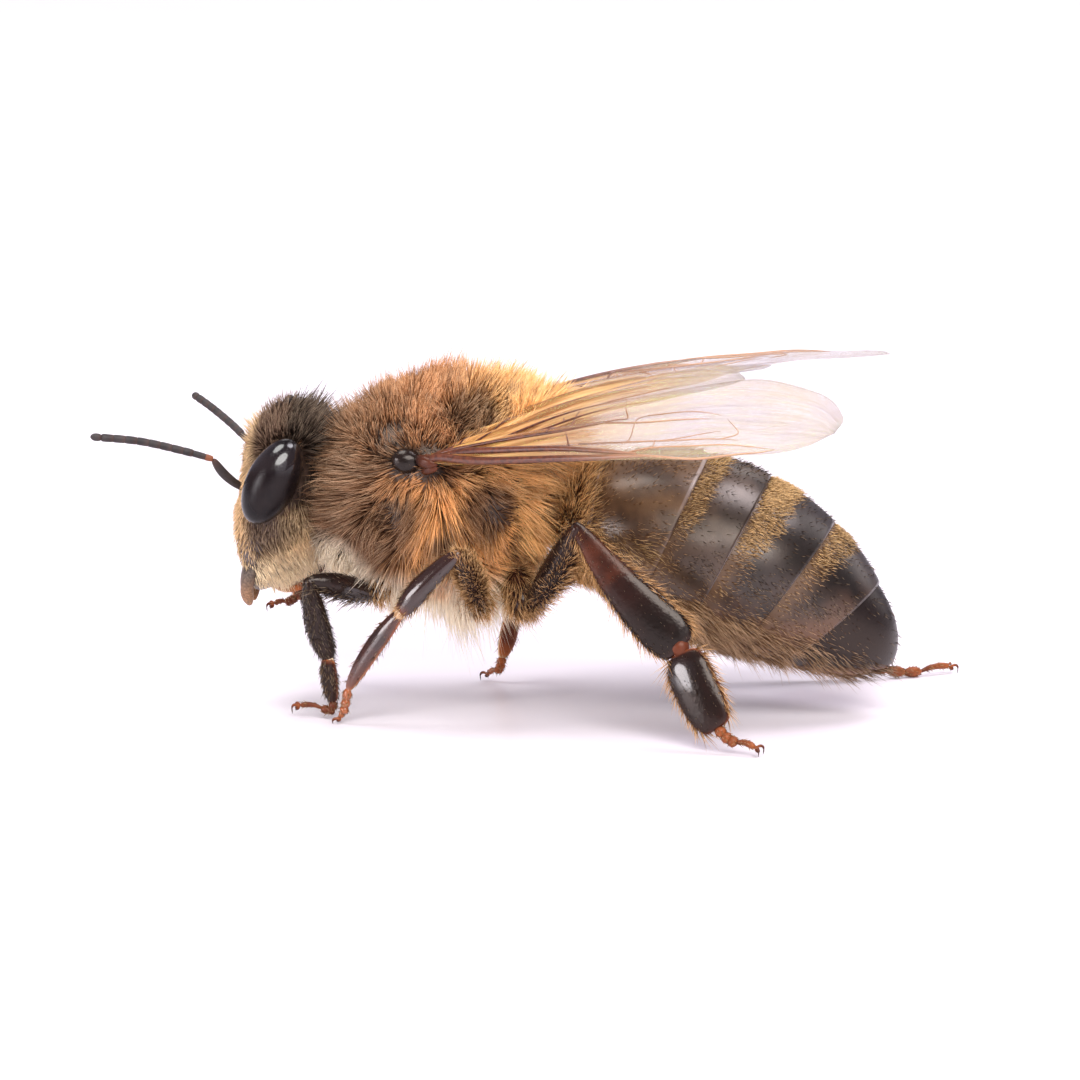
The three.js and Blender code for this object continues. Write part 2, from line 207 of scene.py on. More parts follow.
# How amber the horn of each leg piece is along it, from 0 for black to 1 for pale amber, and how
# much paler the right legs are.
TONES = {
    "fore": {
        "coxa": [0.3, 0.2],
        "femur": [0.2, 0.08, 0.06, 0.06, 0.2],
        "tibia": [0.2, 0.1, 0.08, 0.08, 0.1, 0.3],
        "basitarsus": [1.2, 0.9, 0.15, 0.1, 0.12, 0.2, 0.3, 0.5],
        "toes": [0.55, 0.5, 0.55],
    },
    "mid": {
        "coxa": [0.3, 0.2],
        "femur": [0.3, 0.2, 0.15, 0.25],
        "tibia": [0.4, 0.26, 0.2, 0.2, 0.3, 0.85],
        "basitarsus": [0.8, 0.3, 0.24, 0.28, 0.45, 0.7],
        "toes": [0.62, 0.7],
    },
    "hind": {
        "coxa": [0.3, 0.2],
        "femur": [0.2, 0.1, 0.08, 0.3],
        "tibia": [0.1, 0.27, 0.36, 0.33, 0.1, 0.0, 0.0, 0.4],
        "basitarsus": [0.85, 0.12, 0.04, 0.04, 0.04, 0.12, 0.35],
        "toes": [0.5, 0.58, 0.68],
    },
}
FAR_TONE = 0.25
# The hair of the leg pieces: how dense, how long, and how golden.
LEG_HAIR = {
    "coxa": (0.7, 0.3, 0.75),
    "femur": (0.4, 0.14, 0.4),
    "tibia": (0.5, 0.1, 0.12),
    "basitarsus": (0.5, 0.09, 0.3),
    "toe": (0.4, 0.06, 0.5),
}
# The waist, and the small eyes on the crown.
WAIST = [(1.7, 3.9, 0.7, 0.7), (2.2, 3.8, 0.42, 0.45), (2.7, 3.72, 0.6, 0.6)]
CROWN_EYES = [(0, -3.18, 5.98), (0.2, -3.0, 6.08), (-0.2, -3.0, 6.08)]
# The mouth's parts, the left one of a pair: points, and radii along them.
LIP = [(0, -3.66, 3.1), (0, -3.82, 2.65), (0, -3.9, 2.16)], [0.42, 0.44, 0.4, 0.28]
JAW = (
    [(0.6, -3.62, 2.85), (0.56, -3.77, 2.5), (0.44, -3.79, 2.25), (0.26, -3.77, 2.02)],
    [0.1, 0.125, 0.13, 0.12, 0.08],
)
TONGUE = [(0, -3.4, 2.55), (0, -3.1, 2.38), (0, -2.75, 2.4)], [0.12, 0.16, 0.12]
PALP = [(0.14, -3.38, 2.5), (0.17, -3.1, 2.36), (0.1, -2.72, 2.36)], [0.07, 0.1, 0.06]
# Feelers: root, middle and end of the shaft, and on to the tip.
FEELERS = {
    "left": [
        (0.42, -3.72, 4.32), (0.68, -4.12, 4.62), (0.9, -4.38, 5.03),
        (1.0, -4.95, 5.2), (1.14, -5.8, 5.4), (1.3, -6.74, 5.5),
    ],
    "right": [
        (-0.42, -3.72, 4.32), (-0.82, -3.98, 4.62), (-1.15, -3.95, 5.02),
        (-1.42, -4.32, 5.32), (-1.7, -4.8, 5.64), (-2.0, -5.24, 5.87),
    ],
}

# Wings, as shares of the fore wing's length: along its front edge, and behind it. A vein is its
# line and its thickness at the root and at the tip, mm.
WING_LENGTH = 9.0
WING_HINGE = (1.9, -0.17, 5.19)
WING_POSE = {
    "left": {"out": 36, "climb": 11, "roof": 12.5, "droop": 1.1},
    "right": {"out": 29, "climb": 19.4, "roof": -5, "droop": 1.9},
}
FORE_WING = {
    "front": [
        (0, 0), (0.2, -0.012), (0.45, -0.012), (0.68, 0),
        (0.86, 0.045), (0.96, 0.105), (0.992, 0.165),
    ],
    "back": [
        (0, 0.04), (0.12, 0.1), (0.28, 0.19), (0.45, 0.275),
        (0.66, 0.345), (0.86, 0.32), (0.965, 0.245), (0.992, 0.18),
    ],
    "veins": {
        "costal": ([(0, 0.01), (0.2, -0.006), (0.45, -0.006), (0.62, 0.004)], 0.095, 0.055),
        "radial": ([(0, 0.02), (0.2, 0.012), (0.42, 0.014), (0.6, 0.01)], 0.085, 0.055),
        "marginal": ([(0.58, 0.012), (0.66, 0.05), (0.78, 0.075), (0.9, 0.085)], 0.025, 0.012),
        "edge": ([(0.6, 0.004), (0.75, 0.015), (0.86, 0.055), (0.9, 0.085)], 0.03, 0.012),
        "median": ([(0.02, 0.03), (0.18, 0.062), (0.34, 0.095), (0.44, 0.125)], 0.045, 0.025),
        "anal": ([(0.02, 0.04), (0.16, 0.1), (0.3, 0.17), (0.42, 0.235)], 0.035, 0.02),
        "basal": ([(0.42, 0.02), (0.385, 0.05), (0.35, 0.095)], 0.022, 0.02),
        "cubital": ([(0.43, 0.035), (0.55, 0.065), (0.68, 0.09), (0.8, 0.1)], 0.022, 0.012),
        "discoidal": ([(0.44, 0.125), (0.52, 0.135), (0.6, 0.155), (0.68, 0.17)], 0.022, 0.014),
        "cross_1": ([(0.3, 0.085), (0.31, 0.12), (0.33, 0.185)], 0.02, 0.018),
        "cross_2": ([(0.54, 0.045), (0.52, 0.1), (0.5, 0.19)], 0.013, 0.01),
        "cell_back": ([(0.5, 0.19), (0.6, 0.2), (0.7, 0.19)], 0.013, 0.01),
        "cell_front": ([(0.53, 0.05), (0.62, 0.085), (0.735, 0.13)], 0.013, 0.01),
        "cross_4": ([(0.6, 0.075), (0.62, 0.045), (0.61, 0.012)], 0.013, 0.01),
        "cross_5": ([(0.76, 0.098), (0.78, 0.13), (0.72, 0.18)], 0.013, 0.01),
        "recurrent": ([(0.44, 0.125), (0.455, 0.17), (0.43, 0.21)], 0.018, 0.016),
    },
}
HIND_WING = {
    "front": [(0.04, 0.03), (0.2, 0.09), (0.35, 0.17), (0.5, 0.235), (0.6, 0.29), (0.655, 0.34)],
    "back": [(0.03, 0.09), (0.13, 0.2), (0.28, 0.31), (0.44, 0.385), (0.56, 0.4), (0.65, 0.36)],
    "veins": {
        "front": ([(0.04, 0.035), (0.2, 0.1), (0.35, 0.178), (0.52, 0.25)], 0.04, 0.02),
        "middle": ([(0.05, 0.05), (0.2, 0.15), (0.34, 0.24), (0.48, 0.31)], 0.028, 0.014),
        "back": ([(0.05, 0.06), (0.16, 0.18), (0.28, 0.26)], 0.024, 0.014),
        "cross": ([(0.3, 0.15), (0.29, 0.19), (0.3, 0.215)], 0.018, 0.016),
    },
}
WINGS = {"fore": FORE_WING, "hind": HIND_WING}
# The knots of horn at a left wing's root: their lines and radii.
WING_ROOTS = [
    ([(1.75, -0.25, 5.25), (2.0, -0.05, 5.22), (2.12, 0.2, 5.2)], [0.12, 0.14, 0.07]),
    ([(1.75, -0.15, 5.0), (1.98, 0.0, 5.08), (2.08, 0.2, 5.12)], [0.1, 0.11, 0.06]),
]
ACROSS, UP = (1, 0, 0), (0, 0, 1)


# ------------------------------------------------------------------ node trees
class Wire:
    """A node's output. Arithmetic on it adds Math nodes, or Vector Math where a vector is in it."""

    def __init__(self, tree, node, socket):
        self.tree = tree
        self.node = node
        self.socket = socket

    def __getitem__(self, name):
        return Wire(self.tree, self.node, self.node.outputs[name])

    def math(self, operation, *values):
        if not any(isinstance(v, Wire) and v.socket.type in ("VECTOR", "RGBA") for v in values):
            return self.tree.add("ShaderNodeMath", {"operation": operation}, dict(enumerate(values)))
        values = [v if isinstance(v, (Wire, tuple)) else (v,) * 3 for v in values]
        return self.tree.vector(operation, *values)

    def over(self, low, high, start=0.0, end=1.0):
        """start below low, end above high, and a smooth change between."""
        return self.tree.add(
            "ShaderNodeMapRange",
            {"interpolation_type": "SMOOTHSTEP"},
            {"Value": self, "From Min": low, "From Max": high, "To Min": start, "To Max": end},
        )


def arithmetic(operation, swapped):
    """The method of Wire that does a Math operation with what stands on its other side."""

    def method(self, other):
        return self.math(operation, *((other, self) if swapped else (self, other)))

    return method


for _name, _operation in (("add", "ADD"), ("sub", "SUBTRACT"), ("mul", "MULTIPLY"), ("pow", "POWER")):
    setattr(Wire, f"__{_name}__", arithmetic(_operation, False))
    setattr(Wire, f"__r{_name}__", arithmetic(_operation, True))
Wire.__rtruediv__ = arithmetic("DIVIDE", True)


class Tree:
    """Adds nodes to a node tree, each by one call."""

    def __init__(self, node_tree):
        self.nodes = node_tree.nodes
        self.links = node_tree.links

    def add(self, kind, settings=None, sockets=None, output=0):
        node = self.nodes.new(kind)
        for key, value in (settings or {}).items():
            if key == "stops":
                ramp = node.color_ramp
                while len(ramp.elements) < len(value):
                    ramp.elements.new(0.5)
                for element, (place, colour) in zip(ramp.elements, value):
                    element.position = place
                    element.color = (*colour, 1)
            else:
                setattr(node, key, value)
        for key, value in (sockets or {}).items():
            self.feed(node.inputs[key], value)
        return Wire(self, node, node.outputs[output] if node.outputs else None)

    def feed(self, socket, value):
        if isinstance(value, Wire):
            self.links.new(value.socket, socket)
        elif socket.type == "RGBA" and len(value) == 3:
            socket.default_value = (*value, 1)
        else:
            socket.default_value = value

    def mix(self, factor, first, second):
        """From one colour to another."""
        sockets = {0: factor, 6: first, 7: second}
        return self.add("ShaderNodeMix", {"data_type": "RGBA"}, sockets, output=2)

    def vector(self, operation, *values, output=0):
        settings = {"operation": operation}
        return self.add("ShaderNodeVectorMath", settings, dict(enumerate(values)), output)

    def noise(self, place, scale, detail=3.0, output=0):
        sockets = {"Vector": place, "Scale": scale, "Detail": detail}
        return self.add("ShaderNodeTexNoise", None, sockets, output)


class Finish(Tree):
    """A material with one Principled shader, on coordinates in the bee's own millimetres."""

    def __init__(self, name, **shader):
        self.material = bpy.data.materials.new(name)
        self.material.use_nodes = True
        super().__init__(self.material.node_tree)
        self.nodes.clear()
        self.shader = self.add("ShaderNodeBsdfPrincipled")
        self.add("ShaderNodeOutputMaterial", None, {"Surface": self.shader})
        self.set(**shader)
        sockets = {"Location": tuple(-ORIGIN / MM), "Scale": (1 / MM,) * 3}
        sockets["Vector"] = self.add("ShaderNodeTexCoord", output="Object")
        self.place = self.add("ShaderNodeMapping", {"vector_type": "POINT"}, sockets)
        axes = self.add("ShaderNodeSeparateXYZ", None, {0: self.place})
        self.x, self.y, self.z = (axes[axis] for axis in "XYZ")

    def set(self, **values):
        """Sets sockets of the shader, each named by its label in small letters."""
        for name, value in values.items():
            socket = name.replace("_", " ").title().replace("Ior", "IOR")
            self.feed(self.shader.node.inputs[socket], value)

    def attribute(self, name):
        return self.add("ShaderNodeAttribute", {"attribute_name": name}, output="Fac")

    def bump(self, height, depth, strength=1.0):
        """Relief of a depth in millimetres from a height of 0 to 1."""
        sockets = {"Height": height, "Distance": depth * MM, "Strength": strength}
        self.set(normal=self.add("ShaderNodeBump", None, sockets))

    def near(self, point, middle, inner, outer, most):
        """most within inner of a point given in millimetres, and 0 beyond outer."""
        return self.vector("DISTANCE", point, middle, output="Value").over(inner, outer, most, 0.0)

    def both_sides(self, y, z):
        """A place whose left and right are alike, at these heights and lengths."""
        across = self.add("ShaderNodeMath", {"operation": "ABSOLUTE"}, {0: self.x})
        return self.add("ShaderNodeCombineXYZ", None, {0: across, 1: y, 2: z})


# ------------------------------------------------------------------ shapes
def catmull(points, t):
    """A smooth curve through points, at shares t of the way."""
    p = np.asarray(points, float)
    spans = len(p) - 1
    s = np.clip(t, 0, 1) * spans
    i = np.minimum(s.astype(int), spans - 1)
    f = (s - i)[:, None]
    q = np.vstack([2 * p[0] - p[1], p, 2 * p[-1] - p[-2]])
    a, b, c, d = q[i], q[i + 1], q[i + 2], q[i + 3]
    square, cube = 2 * a - 5 * b + 4 * c - d, 3 * b - a - 3 * c + d
    return 0.5 * (2 * b + (c - a) * f + square * f**2 + cube * f**3)


def unit(vectors):
    vectors = np.asarray(vectors, float)
    return vectors / np.maximum(np.linalg.norm(vectors, axis=-1, keepdims=True), 1e-9)


def smooth(value, low, high):
    """0 below low, 1 above high, and a smooth change between."""
    s = np.clip((value - low) / (high - low), 0, 1)
    return s * s * (3 - 2 * s)


def ripple(points, size, seed=0):
    """A smooth field of about -1 to 1 whose waves are about size long."""
    rng = np.random.default_rng(seed)
    total = 0
    for _ in range(5):
        wave = rng.normal(size=3) * 2.6 / size
        total = total + np.sin(points @ wave + rng.uniform(0, 6.28))
    return total / 2.6


def swirl(points, size, seed):
    """A vector that wanders smoothly over the skin."""
    return np.stack([ripple(points, size, seed + k) for k in range(3)], -1)


def surface(stations, t, turn, blunt=2.6, wide=ACROSS):
    """Points on a body through stations [x, y, z, half width, half thickness], whose width lies
    along wide and whose ends are round. t is the share of the way, turn the angle about it from
    its width upwards."""
    s = np.asarray(stations, float)
    wide = np.asarray(wide, float)
    t, turn = np.broadcast_arrays(t, turn)
    flat, a = np.ravel(t), np.ravel(turn)[:, None]
    size = np.maximum(1 - np.abs(2 * flat - 1) ** blunt, 0) ** (1 / blunt)
    half = catmull(s[:, 3:5], flat) * size[:, None]
    inner = np.clip(flat, 0.002, 0.998)
    way = unit(catmull(s[:, :3], inner + 1e-3) - catmull(s[:, :3], inner - 1e-3))
    side = unit(wide - (way @ wide)[:, None] * way)
    up = np.cross(side, way)
    points = catmull(s[:, :3], flat) + np.cos(a) * side * half[:, :1] + np.sin(a) * up * half[:, 1:]
    return points.reshape(*t.shape, 3)


def turns(around):
    """Angles round a body, from its underside towards its width."""
    return 2 * np.pi * np.arange(around) / around - np.pi / 2


def loft(stations, along=40, around=48, **shape):
    """Rings of a whole closed body."""
    t = (1 - np.cos(np.pi * np.arange(along + 1) / along)) / 2
    return surface(stations, t[:, None], turns(around)[None], **shape)


def middle(stations):
    """Stations of a body in the bee's upright middle plane, with x = 0 put in."""
    return [(0, *station) for station in stations]


def mirrored(rings):
    """The points of rings, with those on the right moved to the same place on the left."""
    return np.abs(rings[..., :1]) * (1, 0, 0) + rings * (0, 1, 1)


def gap(points, middle):
    """How far each point is from a middle."""
    return np.linalg.norm(points - middle, axis=-1)


def mirror(points, side):
    """Points of the left side, or the same on the right for a side of -1."""
    return np.array(points, float) * (side, 1, 1)


def bead(low, high, half_width, half_thickness, along, around, wide=ACROSS):
    """An egg between two ends."""
    low, high = np.array(low, float), np.array(high, float)
    centres = (low, (low * 2 + high) / 3, (low + high * 2) / 3, high)
    stations = [(*centre, half_width, half_thickness) for centre in centres]
    return loft(stations, along, around, blunt=2.0, wide=wide)


def normals(rings):
    """Which way is out at each point of the rings."""
    around = np.roll(rings, -1, 1) - np.roll(rings, 1, 1)
    along = np.gradient(rings, axis=0)
    out = unit(np.cross(along, around))
    out[0], out[-1] = unit(out[1].mean(0)), unit(out[-2].mean(0))
    return out


def closed(rings):
    """The values at rings of points, with each end ring as one point."""
    inner = rings[1:-1].reshape(-1, *rings.shape[2:])
    return np.concatenate([rings[0].mean(0)[None], inner, rings[-1].mean(0)[None]])


def store(mesh, name, values):
    """Writes numbers or vectors at a mesh's points into an attribute."""
    vectors = values.ndim == 2
    attribute = mesh.attributes.new(name, "FLOAT_VECTOR" if vectors else "FLOAT", "POINT")
    attribute.data.foreach_set("vector" if vectors else "value", values.astype(np.float32).ravel())


def mesh_of(name, parts, values=None):
    """One closed mesh from lists of rings. Each body's first and last rings close to a point.
    values gives attributes as lists with one array per body, in the order of its ring points."""
    faces, flat = [], []
    start = 0
    for rings in parts:
        m, n = rings.shape[0] - 1, rings.shape[1]
        last = start + 1 + (m - 1) * n
        for i in range(m):
            high = start + 1 + i * n
            low = high - n
            for a in range(n):
                b = (a + 1) % n
                if i == 0:
                    corners = [(start, a + 0.5, 0), (high + a, a, 1), (high + b, a + 1, 1)]
                elif i == m - 1:
                    corners = [(low + a, a, i), (last, a + 0.5, m), (low + b, a + 1, i)]
                else:
                    corners = [(low + a, a, i), (high + a, a, i + 1)]
                    corners += [(high + b, a + 1, i + 1), (low + b, a + 1, i)]
                faces.append([corner[0] for corner in corners])
                flat += [(u / n, v / m) for _, u, v in corners]
        start = last + 1
    mesh = bpy.data.meshes.new(name)
    mesh.from_pydata(np.vstack([closed(rings) for rings in parts]).tolist(), [], faces)
    layer = mesh.uv_layers.new(name="unwrap")
    layer.data.foreach_set("uv", np.asarray(flat, np.float32).ravel())
    for key, arrays in (values or {}).items():
        store(mesh, key, np.concatenate([closed(array) for array in arrays]))
    mesh.shade_smooth()
    return mesh


def in_scene(name, data):
    """A new object of the scene that holds this data."""
    made = bpy.data.objects.new(name, data)
    bpy.context.scene.collection.objects.link(made)
    return made


def finish_piece(name, mesh, slot, nodes):
    """Moves a mesh from the bee's millimetres into the frame and makes it a piece of the model."""
    points = np.empty(len(mesh.vertices) * 3, np.float32)
    mesh.vertices.foreach_get("co", points)
    points[2::3] = np.maximum(points[2::3], FLOOR_GAP)
    mesh.vertices.foreach_set("co", points)
    mesh.transform(Matrix.Translation(ORIGIN) @ Matrix.Scale(MM, 4))
    mesh.name = name
    piece = in_scene(name, mesh)
    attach(piece, "root")
    for node in nodes:
        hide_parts(node)


def build(name, parts, slot, nodes, look, **values):
    """Makes a piece from lists of rings, with the finish called look."""
    mesh = mesh_of(name, parts, values)
    mesh.materials.append(finish(look))
    finish_piece(name, mesh, slot, nodes)


# ------------------------------------------------------------------ geometry nodes
# The attributes that a finished mesh keeps.
KEPT = ("position", "along", "luck", "tuft", "gold", "OFBake", "sharp_edge", "material_index")


def node_group(name, inputs):
    """An empty Geometry Nodes tree with these inputs besides its geometry: {name: kind}."""
    group = bpy.data.node_groups.new(name, "GeometryNodeTree")
    group.interface.new_socket("Geometry", in_out="INPUT", socket_type="NodeSocketGeometry")
    group.interface.new_socket("Geometry", in_out="OUTPUT", socket_type="NodeSocketGeometry")
    for key, kind in inputs.items():
        group.interface.new_socket(key, in_out="INPUT", socket_type="NodeSocket" + kind)
    tree = Tree(group)
    return group, tree, tree.add("NodeGroupInput")


def close_group(tree, geometry, material):
    """Ends a Geometry Nodes tree with real geometry of one material."""
    geometry = tree.add("GeometryNodeRealizeInstances", None, {"Geometry": geometry})
    sockets = {"Geometry": geometry, "Material": material}
    geometry = tree.add("GeometryNodeSetMaterial", None, sockets)
    tree.add("NodeGroupOutput", None, {"Geometry": geometry})


def made_by(group, name, data, **inputs):
    """The plain mesh that a Geometry Nodes tree makes from mesh data, with only the attributes
    that a finish reads."""
    base = in_scene(name, data)
    modifier = base.modifiers.new(name, "NODES")
    modifier.node_group = group
    sockets = {s.name: s.identifier for s in group.interface.items_tree if s.in_out == "INPUT"}
    for key, value in inputs.items():
        modifier[sockets[key.replace("_", " ").capitalize()]] = value
    view = bpy.context.evaluated_depsgraph_get()
    made = bpy.data.meshes.new_from_object(
        base.evaluated_get(view), preserve_all_data_layers=True, depsgraph=view
    )
    base.modifiers.clear()
    bpy.data.objects.remove(base)
    for key in [attribute.name for attribute in made.attributes]:
        if key not in KEPT and not key.startswith("."):
            made.attributes.remove(made.attributes[key])
    return made


def coat_group():
    """Hairs on a skin. The skin's attributes say how densely they grow (fur), how long they are
    in millimetres (reach), which way they leave the skin (lie) and where they bend to (comb)."""
    inputs = {"Strand": "Object", "Seed": "Int", "Finish": "Material"}
    inputs |= dict.fromkeys(("Density", "Thickness", "Spread", "Bend", "Clump", "Clump size"), "Float")
    group, tree, inputs = node_group("Coat", inputs)

    def kept(name, kind="FLOAT"):
        return tree.add("GeometryNodeInputNamedAttribute", {"data_type": kind}, {"Name": name})

    def vector(name):
        return kept(name, "FLOAT_VECTOR")

    def keep(geometry, name, value, kind="FLOAT", domain="POINT"):
        settings = {"data_type": kind, "domain": domain}
        sockets = {"Geometry": geometry, "Name": name, "Value": value}
        return tree.add("GeometryNodeStoreNamedAttribute", settings, sockets)

    def chance(low, high, seed):
        sockets = {2: low, 3: high, "Seed": inputs["Seed"] + seed}
        return tree.add("FunctionNodeRandomValue", {"data_type": "FLOAT"}, sockets, output=1)

    sockets = {"Mesh": inputs["Geometry"], "Density": inputs["Density"] * kept("fur")}
    sockets["Seed"] = inputs["Seed"]
    points = tree.add("GeometryNodeDistributePointsOnFaces", None, sockets)
    place = tree.add("GeometryNodeInputPosition")
    sockets = {"Vector": place, "Scale": 1 / inputs["Clump size"]}
    cells = tree.add("ShaderNodeTexVoronoi", None, sockets, output="Position")
    tuft = tree.add("ShaderNodeSeparateXYZ", None, {0: cells["Color"]})
    # most hairs are alike in length, and a few stray ones stand out of the coat
    long = chance(0.5, 1.1, 2) + chance(0.0, 1.0, 7) ** 6.0 * 0.7
    points = keep(points, "luck", chance(0.0, 1.0, 1))
    points = keep(points, "tuft", tuft)
    points = keep(points, "gather", (cells - place) * inputs["Clump"], "FLOAT_VECTOR")
    points = keep(points, "root", place, "FLOAT_VECTOR")
    points = keep(points, "grown", kept("reach") * long)
    sockets = {0: (-1, -1, -1), 1: (1, 1, 1), "Seed": inputs["Seed"] + 3}
    stray = tree.add("FunctionNodeRandomValue", {"data_type": "FLOAT_VECTOR"}, sockets)
    points = keep(points, "aim", vector("lie") + stray * inputs["Spread"], "FLOAT_VECTOR")
    sockets = {0: inputs["Thickness"], 1: inputs["Thickness"], 2: kept("grown")}
    size = tree.add("ShaderNodeCombineXYZ", None, sockets)
    sockets = {"Points": points, "Scale": size}
    sockets["Rotation"] = tree.add(
        "FunctionNodeAlignRotationToVector", {"axis": "Z"}, {"Vector": vector("aim")}
    )
    sockets["Instance"] = tree.add(
        "GeometryNodeObjectInfo", None, {"Object": inputs["Strand"]}, output="Geometry"
    )
    hairs = tree.add("GeometryNodeInstanceOnPoints", None, sockets)
    hairs = tree.add("GeometryNodeRealizeInstances", None, {"Geometry": hairs})
    along = kept("along")
    waves = tree.noise(vector("root") * 3.0 + kept("luck") * 0.4, 2.0, 1.0, output="Color")
    bend = vector("comb") * (inputs["Bend"] * kept("grown")) * (along**2.0)
    gather = vector("gather") * (along**1.5)
    sway = (waves - (0.5, 0.5, 0.5)) * (kept("grown") * 0.5) * (along**1.5)
    sockets = {"Geometry": hairs, "Offset": bend + gather + sway}
    hairs = tree.add("GeometryNodeSetPosition", None, sockets)
    patch = (vector("spot") - (0.5, 0.5, 0.0)) * 0.003
    flat = vector("unwrap") * 0.99 + (0.005, 0.005, 0.0) + patch
    hairs = keep(hairs, "OFBake", flat, "FLOAT2", "CORNER")
    close_group(tree, hairs, inputs["Finish"])
    return group


def strand_object(steps):
    """A pointed closed hair of length 1 and radius 1 along Z, with three sides."""
    t = np.linspace(0, 1, steps + 1)
    radius = (1 - t) ** 0.55
    turn = 2 * np.pi * np.arange(3) / 3
    rings = np.stack([np.cos(turn), np.sin(turn), np.zeros(3)], -1)[None] * radius[:, None, None]
    rings[:, :, 2] = t[:, None]
    points = np.vstack([rings[:-1].reshape(-1, 3), [[0, 0, 1]]])
    faces = [(0, 2, 1)]
    for low in range(0, 3 * (steps - 1), 3):
        for a, b in ((0, 1), (1, 2), (2, 0)):
            faces.append((low + a, low + b, low + 3 + b, low + 3 + a))
    top, tip = 3 * (steps - 1), 3 * steps
    faces += [(top, top + 1, tip), (top + 1, top + 2, tip), (top + 2, top, tip)]
    mesh = bpy.data.meshes.new("strand")
    mesh.from_pydata(points.tolist(), [], faces)
    store(mesh, "along", points[:, 2])
    store(mesh, "spot", np.stack([0.5 + points[:, 0] / 2, points[:, 2], np.zeros(len(points))], -1))
    mesh.shade_smooth()
    return in_scene("strand", mesh)


def coat(name, bodies, fields, look, slot, nodes, lay, density, seed):
    """Grows one piece of the coat on bodies of rings, with the user's choices. fields is the
    growth on each body, lay the name of how the hairs stand."""
    choice = bpy.context.scene.bee_coat
    lay = dict(LAYS[lay])
    for field in fields:
        field["reach"] = field["reach"] * choice.length
    group = bpy.data.node_groups.get("Coat") or coat_group()
    skin = mesh_of(name, bodies, {key: [field[key] for field in fields] for key in fields[0]})
    strand = strand_object(lay.pop("steps"))
    strand.data.materials.append(finish(look))
    lay["thickness"] = choice.thickness / MM / 2 * lay.pop("thin")
    lay["density"] = density * choice.density
    lay["seed"] = choice.seed + seed
    made = made_by(group, name, skin, strand=strand, finish=finish(look), **lay)
    bpy.data.objects.remove(strand)
    finish_piece(name, made, slot, nodes)


def vein_group():
    """Round tubes along the lines of a mesh, with the radius in its attribute thickness."""
    group, tree, inputs = node_group("Veins", {"Finish": "Material"})
    sockets = {"Resolution": 7, "Radius": 1.0}
    sockets = {"Profile Curve": tree.add("GeometryNodeCurvePrimitiveCircle", None, sockets)}
    sockets["Curve"] = tree.add("GeometryNodeMeshToCurve", None, {"Mesh": inputs["Geometry"]})
    settings = {"data_type": "FLOAT"}
    sockets["Scale"] = tree.add("GeometryNodeInputNamedAttribute", settings, {"Name": "thickness"})
    sockets["Fill Caps"] = True
    tubes = tree.add("GeometryNodeCurveToMesh", None, sockets)
    tubes = tree.add("GeometryNodeSetShadeSmooth", None, {"Geometry": tubes})
    close_group(tree, tubes, inputs["Finish"])
    return group


def tubes(name, paths, look, slot, nodes):
    """Round tubes as one piece. Each path is (points, thickness at its start, at its end)."""
    steps = 40
    t = np.linspace(0, 1, steps)
    points = np.vstack([catmull(path, t) for path, first, last in paths])
    edges = [(i, i + 1) for i in range(len(points) - 1) if (i + 1) % steps]
    thick = [np.interp(t, [0, 0.85, 1], [first, last, last * 0.4]) for path, first, last in paths]
    mesh = bpy.data.meshes.new(name)
    mesh.from_pydata(points.tolist(), edges, [])
    store(mesh, "thickness", np.concatenate(thick))
    group = bpy.data.node_groups.get("Veins") or vein_group()
    finish_piece(name, made_by(group, name, mesh, finish=finish(look)), slot, nodes)


# ------------------------------------------------------------------ finishes
def skin(f, colours):
    """Dark leathery skin under hair, browner where the hair is dense."""
    grain = f.noise(f.place, 5.0)
    fine = f.noise(f.place, 26.0)
    under = f.mix(grain.over(0.3, 0.7), (0.045, 0.026, 0.017), colours.underfur)
    bare = f.mix(grain.over(0.35, 0.7), (0.024, 0.014, 0.010), (0.06, 0.036, 0.026))
    furry = f.attribute("fur").over(0.3, 0.8)
    f.set(base_color=f.mix(furry, bare, under), roughness=0.34 + 0.4 * furry)
    f.bump(fine + grain * 0.5, 0.02, 0.8)


